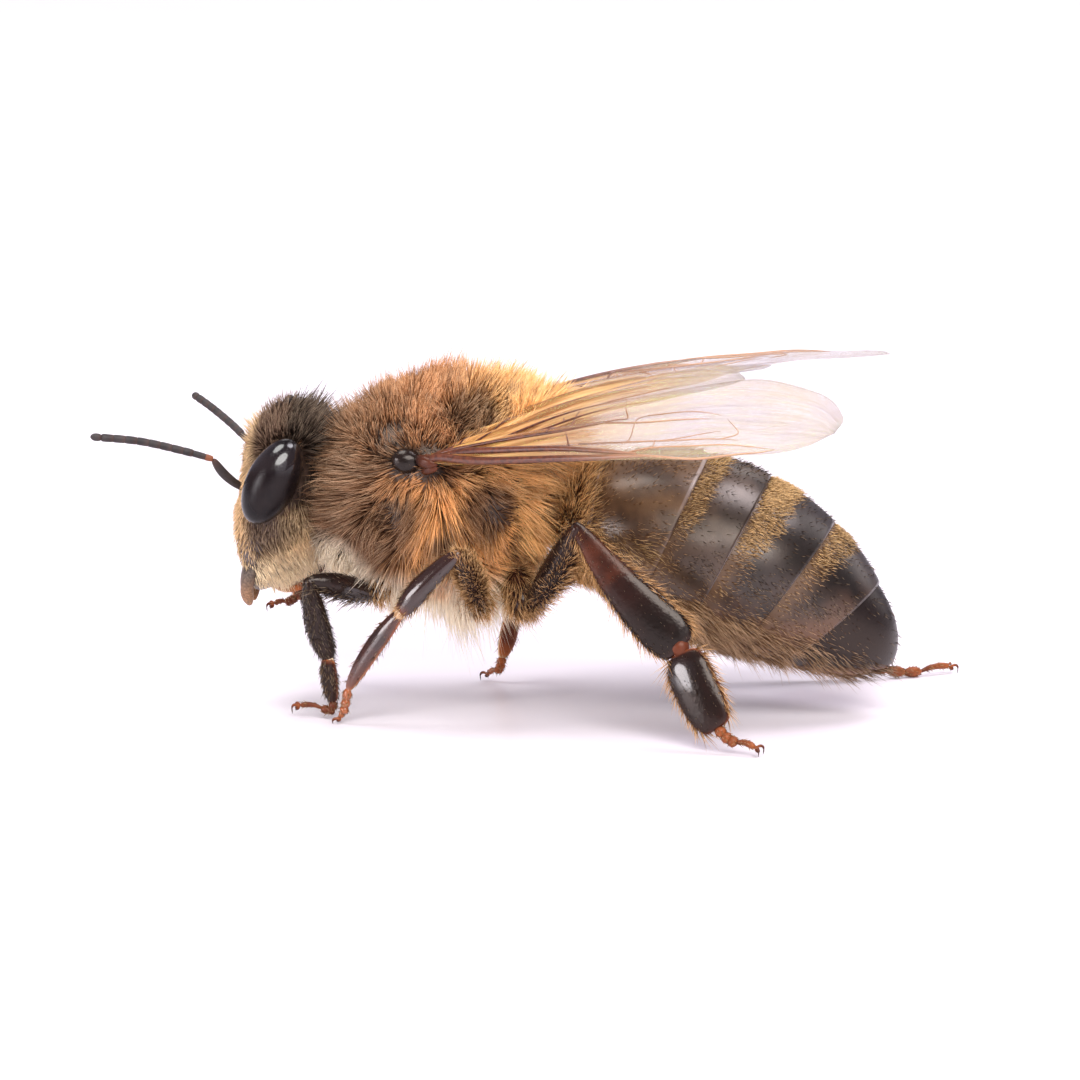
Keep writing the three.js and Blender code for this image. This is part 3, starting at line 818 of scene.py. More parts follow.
def plates(f, colours):
    """Horny plates of the abdomen: brown in front, black behind, with a pale thread of a rim."""
    edge = f.attribute("edge")
    plate = f.attribute("plate")
    cloud = f.noise(f.place, 1.3, 4.0)
    fine = f.noise(f.place, 40.0, 2.0)
    wrinkle = f.noise(f.vector("MULTIPLY", f.place, (7.0, 46.0, 30.0)), 1.0, 2.0)
    black = tuple(0.6 * c for c in colours.chitin)
    dark = f.mix(cloud.over(0.3, 0.7), black, (0.022, 0.013, 0.010))
    warm = f.mix(cloud.over(0.35, 0.65), (0.06, 0.03, 0.014), (0.15, 0.08, 0.036))
    base = f.mix(plate.over(0.9, 2.6, 1.0, 0.0) * (0.5 + 0.5 * cloud), dark, warm)
    low = f.z.over(1.4, 3.0, 0.6, 0.0) * plate.over(4.2, 4.8, 1.0, 0.3)
    base = f.mix(low * cloud.over(0.3, 0.6), base, (0.18, 0.075, 0.03))
    band = edge.over(0.0, 0.4, 0.8, 0.0) * plate.over(1.4, 1.6) * plate.over(4.4, 4.6, 1.0, 0.0)
    base = f.mix(band * (0.5 + 0.5 * cloud), base, (0.14, 0.07, 0.028))
    tail = plate.over(4.5, 4.9)
    base = f.mix(tail, base, (0.009, 0.006, 0.006))
    base = f.mix(f.z.over(0.9, 1.12, 0.9, 0.0) * tail, base, (0.17, 0.055, 0.022))
    rim = edge.over(0.985, 0.996) * cloud.over(0.3, 0.6, 0.1, 0.7) * plate.over(0.3, 0.7)
    rim = rim * plate.over(1.2, 1.8, 0.6, 1.0)
    rim = rim * (f.z - plate.over(1.2, 1.8, 1.6, 0.0)).over(2.4, 3.6, 0.1, 1.0)
    gloss = (0.1 + 0.8 * cloud) * plate.over(4.5, 4.9, 1.0, 0.05)
    f.set(base_color=f.mix(rim, base, (0.52, 0.44, 0.42)))
    f.set(roughness=0.27 + 0.1 * fine + 0.2 * band, coat_weight=gloss)
    f.bump(fine * 0.5 + wrinkle, 0.0042, 0.7)


def horn(dull):
    """Horn of the legs and mouth. The attribute tone runs from black (0) to pale amber (1)."""

    def look(f, colours):
        cloud = f.noise(f.place, 3.0, 3.0)
        dent = f.noise(f.place, 9.0, 3.0)
        fine = f.noise(f.place, 42.0, 2.0)
        tone = f.attribute("tone") + (cloud - 0.5) * 0.26
        stops = [(0.0, colours.chitin), (0.25, (0.022, 0.009, 0.007)), (0.5, (0.11, 0.027, 0.011))]
        stops += [(0.72, colours.amber), (0.88, (0.40, 0.22, 0.11)), (1.0, (0.80, 0.60, 0.40))]
        f.set(base_color=f.add("ShaderNodeValToRGB", {"stops": stops}, {0: tone}))
        # the wet shine of the middle left leg, and of the hind left foot
        y, z = f.y, f.z
        shine = y.over(-1.9, -1.6) * y.over(0.6, 0.9, 1.0, 0.0) * z.over(3.6, 3.9, 1.0, 0.0)
        foot = y.over(4.5, 4.7) * y.over(5.2, 5.4, 1.0, 0.0) * z.over(1.1, 1.3)
        shine = shine + foot * z.over(1.65, 1.8, 1.0, 0.0)
        f.set(coat_weight=0.1 + 0.9 * shine - tone.over(0.2, 0.4, 0.0, 0.08))
        f.set(roughness=dull + 0.12 * fine + tone.over(0.2, 0.5, 0.0, 0.2))
        f.bump(fine * 0.25 + dent, 0.012, 0.7)

    return look


def lip(f, colours):
    """Dull tan horn of the lip and jaws, greyer above."""
    fine = f.noise(f.place, 24.0, 3.0)
    tan = f.mix(f.z.over(2.05, 2.75), (0.38, 0.20, 0.10), (0.12, 0.088, 0.07))
    f.set(base_color=f.mix(fine.over(0.35, 0.7), f.vector("MULTIPLY", tan, (0.5, 0.5, 0.5)), tan))
    f.set(roughness=0.4 + 0.15 * fine)
    f.bump(fine, 0.008, 0.7)


def eyes(f, colours):
    """Glossy black, set with facets."""
    sockets = {"Vector": f.place, "Scale": 34.0, "Randomness": 0.3}
    cells = f.add("ShaderNodeTexVoronoi", None, sockets)
    cloud = f.noise(f.place, 1.4)
    high = f.z.over(4.85, 5.1, 0.05, 0.95) * f.z.over(5.44, 5.5, 1.0, 0.04)
    f.set(base_color=f.mix(cloud.over(0.35, 0.65), colours.eye, (0.012, 0.008, 0.008)))
    f.set(roughness=0.08 + 0.06 * cells, coat_weight=high)
    f.bump(1.0 - cells, 0.006, 0.6)


def feelers(f, colours):
    """Matt grey-black with a fine down, brown at the joints."""
    fine = f.noise(f.place, 46.0, 2.0)
    cloud = f.noise(f.place, 4.0)
    dark = f.mix(cloud.over(0.3, 0.7), (0.014, 0.011, 0.011), (0.034, 0.027, 0.026))
    f.set(base_color=f.mix(f.attribute("tone"), dark, colours.amber), roughness=0.45 + 0.2 * fine)
    f.bump(fine, 0.006, 0.9)


def membrane(f, colours):
    """Clear wing skin, honey-coloured at the root with painted pale glints along its folds, and faintly
    pink and pearly at the tip.
    """
    cloud = f.noise(f.place, 0.9, 3.0)
    unwrap = f.add("ShaderNodeUVMap", {"uv_map": "unwrap"})
    streak = f.noise(f.vector("MULTIPLY", unwrap, (30.0, 4.0, 1.0)), 1.0, 3.0)
    fine = f.noise(f.place, 30.0, 1.0)
    root = f.mix(streak.over(0.36, 0.6), (0.22, 0.075, 0.024), (0.74, 0.38, 0.14))
    # painted highlight: pale glints along the folds near the root
    root = f.mix(streak.over(0.6, 0.68, 0.0, 0.8), root, (0.96, 0.72, 0.46))
    tip = f.mix(cloud.over(0.35, 0.65), colours.membrane, (0.42, 0.31, 0.19))
    fade = f.attribute("out") + (streak - 0.5) * 0.6
    f.set(base_color=f.mix(fade.over(0.1, 0.68), root, tip), roughness=0.07 + 0.1 * fine)
    f.set(alpha=fade.over(0.0, 0.62, 0.84, 0.43) + (streak - 0.5) * 0.5)
    f.bump(streak + fine * 0.08, 0.12, 1.0)


def veins(f, colours):
    """Red-brown veins, paler towards the tip."""
    fine = f.noise(f.place, 12.0)
    near = f.mix(fine.over(0.3, 0.7), (0.045, 0.011, 0.006), (0.13, 0.034, 0.013))
    base = f.mix(f.y.over(2.4, 5.6), near, (0.42, 0.22, 0.12))
    f.set(base_color=base, roughness=0.24 + 0.16 * fine)
    f.bump(fine, 0.01, 0.5)


def hair(paint, root=0.24, pale=0.3):
    """Hair, dark at its root and paler at its tip: the dark root is partly the hair's own colour and
    partly painted shade deep in the coat. paint makes the wires of its colour and of how much painted
    light lifts its root."""

    def look(f, colours):
        along = f.attribute("along")
        luck = f.attribute("luck")
        own, lit = paint(f, colours)
        # deep: the root colour, darkened partly as the hair's own colour and partly as painted shade
        # inside the coat
        deep = f.vector("MULTIPLY", own, (root, root * 0.8, root * 0.65))
        tip = f.mix(pale * luck * along, own, (0.96, 0.76, 0.52))
        # lit adds painted light at the root, lifting the painted shade where a paint function asks for
        # it
        shade = 0.2 + 0.8 * along + (luck - 0.5) * 0.7 + lit
        f.set(base_color=f.mix(shade.over(0.1, 0.9), deep, tip), roughness=0.5 + 0.15 * luck)

    return look


def thorax_hair(f, colours):
    """Grey-brown at the neck, tawny on the back, golden behind, cream below, with painted light at the
    hair's roots on the belly, behind and on the flanks.
    """
    y, z = f.y, f.z
    patch = f.noise(f.place, 1.1, 2.0) - 0.5
    tuft = f.attribute("tuft") - 0.5
    run = y + patch * 1.2 + tuft * 0.5
    back = f.mix(run.over(-1.9, 0.0), colours.collar, colours.back)
    back = f.mix(run.over(0.2, 1.5), back, colours.saddle)
    side = f.mix(run.over(-1.4, 0.6), colours.collar, colours.flank)
    side = f.mix(run.over(1.0, 2.0), side, colours.saddle)
    both = f.mix((z + patch * 1.4 + tuft * 0.5).over(4.2, 5.4), side, back)
    belly = (z + patch * 0.8 + y.over(-2.2, -0.8, -0.9, 0.0)).over(2.2, 3.0)
    here = f.both_sides(y + patch * 0.5, z + tuft * 0.3)
    dark = tuft.over(-0.45, 0.0, 0.7, 0.0)
    for at, size in DARK_TUFTS:
        dark = dark.math("MAXIMUM", dark, f.near(here, at, size * 0.5, size, 0.88))
    rear = (y + patch * 0.5).over(1.5, 1.9)
    # warm marks the flanks, where painted light lifts the roots of the hair
    warm = (y + patch).over(-1.2, -0.5) * (z + tuft).over(5.4, 5.0) * (1 - rear) * (1 - dark)
    both = f.mix(dark, f.mix(rear, both, (1.0, 0.56, 0.20)), colours.shade)
    # painted light at the hair's roots: most on the cream belly hair, some on the golden rear and on
    # the flanks
    lit = belly.over(0.0, 1.0, 0.9, 0.0) + rear * 0.45 + warm * 0.25
    return f.mix(belly, colours.cream, both), lit


def head_hair(f, colours):
    """Dark brown on the crown, tawny by the neck, pale on the cheeks and chin, and near black at the
    back of the head, partly its own dark hair and partly painted shade where the head meets the thorax.
    The face below the crown gets painted light at the roots.
    """
    y, z = f.y, f.z
    patch = f.noise(f.place, 1.5, 2.0) - 0.5
    tuft = f.attribute("tuft") - 0.5
    crown = (z + patch * 0.6 + tuft * 0.3).over(4.7, 5.2)
    crown = crown * (y + patch * 0.2).over(-3.7, -3.45, 0.35, 1.0)
    face = f.mix((y + patch * 0.3).over(-3.8, -3.4), colours.face, colours.cheek)
    low = (z - y * 0.6 + patch * 0.4).over(4.7, 5.4)
    chin = f.mix(low, f.mix(z.over(2.8, 3.5), (0.98, 0.79, 0.52), colours.face), face)
    here = f.both_sides(y + patch * 0.4, z + tuft * 0.2)
    chin = f.mix(f.near(here, UNDER_EYE, 0.25, 0.75, 0.75), chin, (0.15, 0.10, 0.075))
    # nape: near-black hair at the back of the head, partly its own colour and partly painted shade in
    # the gap to the thorax
    nape = (y + patch * 0.2).over(-3.05, -2.8) * z.over(3.9, 4.4)
    made = f.mix(nape, f.mix(crown, chin, colours.crown), (0.05, 0.03, 0.022))
    # the face below the crown gets painted light at the hair's roots
    return made, low.over(0.0, 1.0, 0.3, 0.0)


def abdomen_hair(f, colours):
    """Golden felt across the bands, dark on the rings between, tawny below."""
    patch = f.noise(f.place, 1.3, 2.0) - 0.5
    gold = f.attribute("gold")
    tuft = f.attribute("tuft")
    dark = f.mix(tuft, (0.03, 0.02, 0.014), (0.13, 0.075, 0.04))
    low = f.mix((f.z + patch).over(1.2, 3.6), (0.52, 0.32, 0.18), (0.44, 0.24, 0.10))
    warm = f.mix(gold.over(0.1, 0.55), dark, low)
    band = f.mix(tuft, colours.band, (0.58, 0.36, 0.15))
    made = f.mix(f.y.over(7.6, 8.6) * 0.7, f.mix(gold.over(0.6, 0.95), warm, band), dark)
    return f.mix(f.y.over(2.9, 3.5, 1.0, 0.0), made, colours.saddle), 0.0


def leg_hair(f, colours):
    """Hair of the legs: dark on dark horn, tawny by the body and along the edges."""
    dark = f.mix(f.attribute("tuft"), (0.02, 0.013, 0.010), (0.08, 0.045, 0.025))
    return f.mix(f.attribute("gold").over(0.15, 0.9), dark, colours.fringe), 0.0


# Each finish: what lays it out, how strongly it mirrors, and its other fixed values.
LEATHER = (skin, 0.5, {"specular_tint": (1.0, 0.84, 0.72)})
HORN = {"specular_tint": (1.0, 0.86, 0.78), "coat_roughness": 0.09}
FILM = {"thin_film_thickness": 430.0, "thin_film_ior": 1.4, "ior": 1.5}
FINISHES = {
    "thorax_skin": LEATHER,
    "head_skin": LEATHER,
    "abdomen_plates": (plates, 0.4, {"specular_tint": (1.0, 0.8, 0.66), "coat_roughness": 0.3}),
    "leg_horn": (horn(0.1), 0.22, HORN),
    "mouth_horn": (horn(0.28), 0.22, HORN),
    "lip_horn": (lip, 0.3, {}),
    "eyes": (eyes, 0.12, {"coat_roughness": 0.1}),
    "feelers": (feelers, 0.3, {}),
    "wing_membrane": (membrane, 0.7, FILM),
    "wing_veins": (veins, 0.6, {}),
    "thorax_hair": (hair(thorax_hair, root=0.19), 0.12, {}),
    "head_hair": (hair(head_hair, root=0.17, pale=0.16), 0.12, {}),
    "abdomen_hair": (hair(abdomen_hair), 0.12, {}),
    "leg_hair": (hair(leg_hair), 0.12, {}),
}


def finish(name):
    """One of the bee's finishes, made the first time it is asked for."""
    if name not in bpy.data.materials:
        look, mirrors, values = FINISHES[name]
        f = Finish(name, specular_ior_level=mirrors, **values)
        look(f, bpy.context.scene.bee_colours)
    return bpy.data.materials[name]


# ------------------------------------------------------------------ the bee's parts
def by(share, vectors):
    """Vectors, each in proportion to the share at its point."""
    return share[..., None] * np.asarray(vectors, float)


def growth(fur, reach, lie, comb, gold=1.0, densest=1.3):
    """How hair grows at the points of a skin: how densely, how long, which way it leaves the skin,
    where it bends to and how golden it is."""
    fur = np.clip(fur, 0, densest)
    gold = np.clip(gold, 0, 1) + 0 * fur
    return {"fur": fur, "reach": reach, "lie": unit(lie), "comb": comb, "gold": gold}


def neck_rings():
    """The neck and throat, between the head and the front legs."""
    return loft(middle(NECK), 30, 48)


def neck_fur(rings):
    """How the hair of the throat grows."""
    out, y, z = normals(rings), rings[..., 1], rings[..., 2]
    low = smooth(z, 4.6, 3.9)
    fur = (0.5 + 0.5 * low) * smooth(y, -1.3, -1.6) * smooth(y, -2.95, -2.8)
    wander = swirl(rings, 0.5, 31)
    lie = out + np.array([0, -0.1, -0.3]) + wander * 0.3
    return growth(fur, 0.24 + 0.06 * low, lie, wander * 0.4 + np.array([0, 0.1, -0.3]))


def thorax_rings():
    """The thorax, with the grooves of its back and sides."""
    rings = loft(middle(THORAX), 72, 96, blunt=3.0)
    y, z = rings[..., 1], rings[..., 2]
    lift = 0.05 * ripple(rings, 0.9, 3)
    # the groove between the shield and the little shield behind it, and the one down the side
    back = np.exp(-(((y - 0.75 - 0.25 * (z - 5.6)) / 0.12) ** 2))
    side = np.exp(-(((y + 0.9) / 0.15) ** 2))
    lift -= 0.10 * back * smooth(z, 5.2, 5.7)
    lift -= 0.08 * side * smooth(z, 4.9, 4.3) * smooth(z, 3.0, 3.5)
    return rings + by(lift, normals(rings))


def thorax_fur(rings):
    """How the hair of the thorax grows, at each point of its skin."""
    out, place = normals(rings), mirrored(rings)
    x, y, z = np.moveaxis(place, -1, 0)
    top = smooth(z, 4.9, 5.7)
    low = smooth(z, 3.3, 2.5)
    down = (1 - top) * (1 - low)
    fur = np.ones(x.shape)
    reach = 0.48 + 0.07 * ripple(rings, 0.5, 7) + 0.05 * top * smooth(y, -0.6, 1.0)
    reach += (0.24 + 0.16 * smooth(y, -0.2, 0.6)) * low - 0.04 * down
    for at, size, bare in BALD:
        away = gap(place, at) / size
        fur *= 1 - bare * np.exp(-(away**4))
        reach *= 1 - 0.5 * bare * np.exp(-((away / 1.4) ** 4))
    fur *= 1 + 0.3 * ripple(rings, 0.4, 5)
    fur *= smooth(y, -2.2, -1.9) * smooth(y, 2.5, 2.2)
    reach += 0.1 * smooth(y, -1.4, -2.0) + 0.2 * smooth(y, 1.75, 2.1)
    wander = swirl(rings, 0.55, 41)
    # below the wings the hair spreads down and out from the wing's root
    fan = rings - np.array([0, 0.0, 5.35]) - by(np.sign(rings[..., 0]), (1.9, 0, 0))
    fan = unit(fan - (fan * out).sum(-1, keepdims=True) * out)
    lie = out + by(top, (0, 0.1, 0.14)) + by(0.85 * down, fan)
    lie += by(0.12 * top + 0.42 * (1 - top), wander)
    comb = by(0.9 * down, fan) + by(top, (0, 0.2, 0.1))
    comb += by(low, (0, 0.3, -0.55)) + by(0.25 + 0.5 * down, wander)
    return growth(fur, reach, lie, comb)


def head_rings():
    """The head, with the face's mounds and the beds of the feelers and eyes."""
    rings = loft(middle(HEAD), 72, 96, blunt=2.5, wide=(-1, 0, 0))
    out, place = normals(rings), mirrored(rings)
    x, z = place[..., 0], place[..., 2]

    def mound(high, at, size):
        return high * np.exp(-((x - at[0]) / size[0]) ** 2 - ((z - at[1]) / size[1]) ** 2)

    lift = mound(0.07, (0, 3.2), (0.6, 0.5)) - mound(0.05, (0.42, 4.3), (0.2, 0.2))
    lift += mound(0.05, (0, 4.5), (0.16, 0.7)) + mound(0.05, (0.42, 3.95), (0.3, 0.12))
    lift *= smooth(-out[..., 1], 0.1, 0.7)
    lift += smooth(z, 5.2, 5.6) * mound(0.06, (0, 5.8), (0.4, 0.5))
    lift -= 0.10 * np.exp(-(np.linalg.norm((place - EYE["at"]) / (0.7, 0.62, 1.05), axis=-1) ** 4))
    return rings + by(lift, out)


def head_fur(rings):
    """How the hair of the head grows."""
    out, place = normals(rings), mirrored(rings)
    y, z = rings[..., 1], rings[..., 2]
    wide, deep, tall = EYE["half"]
    eye = place - EYE["at"]
    eye[..., 1] -= math.tan(math.radians(-EYE["lean"])) * eye[..., 2]
    fur = smooth(np.linalg.norm(eye / (wide + 0.1, deep + 0.06, tall), axis=-1), 0.95, 1.12)
    fur *= smooth(gap(place, FEELER_ROOT), 0.14, 0.24)
    crown = smooth(z, 4.95, 5.5)
    chin = smooth(z, 3.7, 3.1) * smooth(y, -3.75, -3.3)
    behind = smooth(y, -3.1, -2.8) * smooth(z, 3.9, 4.4) * smooth(z, 5.5, 5.1)
    cheek = smooth(y, -3.55, -3.2) * (1 - crown) * (1 - chin)
    fur *= 1 + 0.2 * ripple(rings, 0.4, 2)
    fur *= 1 - 0.3 * cheek - 0.6 * behind
    fur *= 1 - 0.4 * smooth(gap(place, UNDER_EYE), 0.75, 0.3)
    fur *= 1 - 0.8 * smooth(z, 3.7, 3.3) * smooth(-out[..., 1], 0.1, 0.6)
    fur *= smooth(z, 2.4, 2.6)
    reach = 0.15 + 0.22 * crown + 0.12 * chin + 0.04 * ripple(rings, 0.3, 8)
    reach += 0.16 * crown * smooth(y, -3.1, -2.6) + 0.1 * smooth(y, -2.9, -2.5)
    flat = -np.array(UP) + by(out[..., 2], out)
    wander = swirl(rings, 0.5, 61)
    lie = by(0.5 + 0.7 * crown, out) + by(1 - crown, flat) * 0.9
    lie += by(crown, (0, 0.2, 0.35)) + wander * 0.18 + by(chin, (0, 0.7, -0.2))
    comb = by(0.5 * (1 - crown), flat) + by(crown, (0, 0.25, 0)) + wander * 0.25
    return growth(fur, reach, lie, comb)


def plate_cuts(turn):
    """For each cut between the plates, how far along the abdomen it is at each angle."""
    t = np.linspace(0.001, 0.999, 500)
    points = surface(middle(ABDOMEN), t[:, None], turn[None], blunt=2.5)
    cuts = [np.zeros(len(turn))]
    for y, z, lean in PLATE_ENDS:
        tail = np.array([0, math.cos(math.radians(lean)), -math.sin(math.radians(lean))])
        beyond = (points - np.array([0, y, z])) @ tail
        cuts.append(np.array([np.interp(0, column, t) for column in beyond.T]))
    return [*cuts, np.ones(len(turn))]


def plate_rings(k):
    """One plate of the abdomen: its rings, and how far each ring is towards its rear edge."""
    turn = turns(PLATE_AROUND)
    first, last = plate_cuts(turn)[k : k + 2]
    s = np.linspace(-PLATE_TUCK if k else 0, 1, PLATE_ROWS)
    if k == 0:
        s = 1 - np.cos(np.pi / 2 * s)
    if k == LAST_PLATE:
        s = np.where(s > 0, np.sin(np.pi / 2 * np.clip(s, 0, 1)), s)
    s = s[:, None]
    rings = surface(middle(ABDOMEN), np.clip(first + (last - first) * s, 0, 1), turn[None], blunt=2.5)
    out = normals(rings)
    # each plate rises from under the one before it to its own rear edge
    lift = 0.03 * np.sin(np.pi * np.clip(s, 0, 1))
    lift = lift - (0.05 if k else 0) * np.clip(1 - s, 0, 1.2) ** 1.3
    # the back plate's side edge stands over the belly plate
    fold = smooth(turn[None], -0.62, -0.5) + smooth(turn[None], math.pi + 0.5, math.pi + 0.62)
    lift = lift - 0.05 * (1 - np.clip(fold, 0, 1)) * np.clip(1.5 * s, 0, 1)
    rings = rings + by(lift, out)
    edge = np.repeat(s, PLATE_AROUND, 1)
    if k < LAST_PLATE:
        end, step, centre = rings[-1], rings[-1] - rings[-2], rings[-1].mean(0)
        lip = [end - out[-1] * 0.02 + step * 0.08, end - out[-1] * 0.09 - step * 0.4]
        rings = np.concatenate([rings, lip, [centre + (end - centre) * 0.5]])
        edge = np.concatenate([edge, np.ones((3, PLATE_AROUND))])
    if k:
        centre = rings[0].mean(0)
        rings = np.concatenate([[centre + (rings[0] - centre) * 0.5], rings])
        edge = np.concatenate([edge[:1], edge])
    return rings, edge


def plate_fur(k, rings, edge):
    """How the hair of one plate of the abdomen grows, and how golden it is."""
    out = normals(rings)
    y, up = rings[..., 1], out[..., 2]
    way = unit(np.gradient(rings, axis=0))
    shown = smooth(edge, 0.0, 0.05) * smooth(edge, 1.0, 0.97)
    upper = smooth(up, -0.45, -0.05)
    below = 1 - smooth(up, -0.65, -0.2)
    wave = ripple(rings, 0.45, k) + 0.5 * ripple(rings, 0.15, k + 9)
    reach, band, gold = 0.12, 0 * up, 0 * up
    if k == 0:
        band, gold = 0.5, 0.8
        reach = 0.42 + 0.14 * smooth(y, 2.9, 2.5)
    elif k == 1:
        side = smooth(up, 0.5, 0.0)
        front = smooth(y, 3.45, 3.05)
        band = 0.02 + 0.22 * side + 0.35 * front
        gold = 0.45 + 0.35 * side + 0.2 * front
        reach = 0.15 + 0.1 * side + 0.12 * front
    elif k in BANDS:
        dense, wide, low = BANDS[k]
        wide = wide * (1 - 0.3 * smooth(up, 0.6, 0.0))
        inside = smooth(edge + 0.05 * wave, wide + 0.07, wide - 0.08)
        around = smooth(up, low - 0.35, low + 0.15)
        band = dense * inside * (0.2 + 0.8 * around)
        if k == 2:
            band = band * (0.3 + 0.7 * smooth(ripple(rings, 0.8, 12), -0.3, 0.3))
        gold = smooth(edge + 0.05 * wave, wide + 0.14, wide) * (0.6 + 0.4 * around)
    side = smooth(up, 0.3, -0.2)
    sparse = 0.02 + 0.16 * side * (k < LAST_PLATE) + 0.05 * smooth(up, 0.75, 0.95)
    fur = upper * np.maximum(band, sparse) + below * 0.5 * BELLY[k]
    gold = gold * upper + 0.5 * (1 - upper) + 0.25 * side * upper
    reach = reach * upper + below * (0.36 + 0.04 * wave)
    standing = upper * (0.3 + 0.5 * (1 - gold))
    wander = swirl(rings, 0.4, 80 + k)
    lie = way + by(0.2 + standing + 0.25 * below, out) + wander * 0.2
    comb = way * 0.4 + by(below, (0, 0.1, -0.2)) + wander * 0.2
    return growth(fur * (1 + 0.3 * wave) * shown, reach, lie, comb, gold, 1.2)


def limb(points, radii, flat, wide, blunt, along, around):
    """A body through points, whose radii run evenly along it. flat is its thickness over its
    width, and wide the way of its width."""
    t = np.linspace(0, 1, max(len(radii), len(points), 4))
    half = np.interp(t, np.linspace(0, 1, len(radii)), radii)
    stations = [(*centre, h, h * flat) for centre, h in zip(catmull(points, t), half)]
    return loft(stations, along, around, blunt=blunt, wide=wide)


def spread(rings, values):
    """Values given evenly along a body, at each of its ring points."""
    t = np.linspace(0, 1, len(rings))
    run = np.interp(t, np.linspace(0, 1, len(values)), values)
    return np.repeat(run[:, None], rings.shape[1], 1)


def leg_wide(leg, piece="tibia"):
    """The way the broad sides of a leg's tibia and foot are wide."""
    part, side = leg.split("_")
    face = BROAD_FOOT if (leg, piece) == ("hind_left", "basitarsus") else BROAD[part]
    return np.cross(np.subtract(LEGS[leg][4], LEGS[leg][2]), mirror(face, SIDES[side]))


def leg_bodies(leg):
    """The bodies of one leg: {piece: rings}, from the body down to the first foot joint."""
    part, side = leg.split("_")
    p = np.array(LEGS[leg], float)
    made = {}
    for i, (piece, (radii, flat)) in enumerate(LEG_PIECES[part].items()):
        a, b = p[i], p[i + 1]
        way = unit(b - a)
        end = piece in ("tibia", "basitarsus")
        over = min(radii[0], radii[-1]) * 0.5
        if part == "hind":
            over = {"tibia": 0.1, "basitarsus": -0.13}.get(piece, over)
        bow = np.cross(way, np.array([SIDES[side], 0, 0])) * 0.05 * np.linalg.norm(b - a)
        bent = (a + b) / 2 + bow * (0.6 if i else 0)
        points = [a - way * over, bent, b + way * abs(over) * (0.2 if piece == "basitarsus" else 0.6)]
        blunt = BLUNT[piece] + (2.0 if part == "hind" and end else 0.0)
        made[piece] = limb(points, radii, flat, leg_wide(leg, piece) if end else UP, blunt, 40, 28)
    return made


def toe_bodies(leg):
    """The short foot joints of one leg with its last long one, and its claws and pad."""
    size = TOE_SIZE[leg.split("_")[0]]
    p = np.array(LEGS[leg][4:], float)
    beads = catmull(p[:3], np.linspace(0, 1, 4))
    radii = [size * 0.6, size, size * 1.1, size * 0.8]
    bodies = []
    for a, b in zip(beads[:-1], beads[1:]):
        way = unit(b - a)
        points = [a - way * 0.03, b + way * 0.04]
        bodies.append(limb(points, radii, 0.8, leg_wide(leg), 2.6, 12, 14))
    a, b = p[2:]
    bend = (a + b) / 2 + np.array([0, 0, 0.05])
    bodies.append(limb([a, bend, b], [size * 0.5, size * 0.55, size * 0.85], 0.85, UP, 2.6, 18, 14))
    way = unit((b - a) * np.array([1, 1, 0.2]))
    across = unit(np.cross(way, UP))
    claws = []
    for turn in (-1, 1):
        root = b + across * turn * 0.05
        tip = b + way * 0.12 + across * turn * 0.13
        tip[2] = max(b[2] - 0.15, 0.012)
        high = b + way * 0.12 + across * turn * 0.12 + np.array([0, 0, 0.02])
        claws.append(limb([root, high, tip], [0.034, 0.03, 0.02, 0.008], 0.8, UP, 2.4, 14, 10))
    low = b + way * 0.09
    low[2] = max(b[2] - 0.09, 0.035)
    claws.append(limb([b + way * 0.01, low], [0.05, 0.065, 0.05], 0.7, across, 2.2, 10, 12))
    return bodies, claws


def leg_fur(part, piece, rings):
    """How the hair of one leg piece grows."""
    out = normals(rings)
    way = unit(np.gradient(rings, axis=0))
    run = spread(rings, [0, 1])
    broad = np.abs(np.cos(turns(rings.shape[1])))[None] + 0 * run
    dense, length, golden = LEG_HAIR[piece]
    fur, reach, gold = dense + 0 * run, length + 0 * run, golden + 0 * run
    under = smooth(-out[..., 2], 0.0, 0.6)
    if piece == "femur":
        fur = dense * (0.35 + 0.9 * under)
        reach = length + 0.18 * under
        gold = golden + 0.4 * under
    if part == "fore" and piece == "femur":
        fur, gold = fur * 0.7, gold * 0.35
    if part == "mid" and piece == "femur":
        fur, reach, gold = 0.9 + 0 * run, 0.2 + 0 * run, 0.7 + 0 * run
    if piece in ("tibia", "basitarsus") and part != "fore":
        rim = smooth(broad, 0.8, 0.98)
        end = smooth(run, 0.72, 0.92) * (piece == "tibia") * (part == "mid")
        much = 1.0 if part == "hind" else 0.45
        fur = 0.05 + np.maximum(rim * much * 0.6, end * 0.95)
        longest = np.maximum(rim * (0.24 if part == "hind" else 0.1), end * 0.14)
        reach = 0.05 + longest * (1 + 0.3 * ripple(rings, 0.2, 77))
        gold = 0.2 + 0.75 * np.maximum(rim * much, end)
    fur = fur * smooth(run, 0.01, 0.05) * smooth(run, 1.0, 0.95)
    wander = swirl(rings, 0.3, 90)
    lie = way + out * 0.8 + wander * 0.2
    comb = way * 0.3 + np.array([0, 0, -0.1]) + wander * 0.15
    return growth(fur, reach, lie, comb, gold)


def wing_frame(side):
    """The wing's axes and its root: its length, its breadth backwards, and up."""
    pose = WING_POSE[side]
    out, climb, roof = (math.radians(pose[k]) for k in ("out", "climb", "roof"))
    level = math.cos(climb)
    along = np.array([math.sin(out) * level, math.cos(out) * level, math.sin(climb)])
    inward = np.array([-math.cos(roof), 0, math.sin(roof)])
    up = unit(np.cross(along, inward))
    return along, np.cross(up, along), up


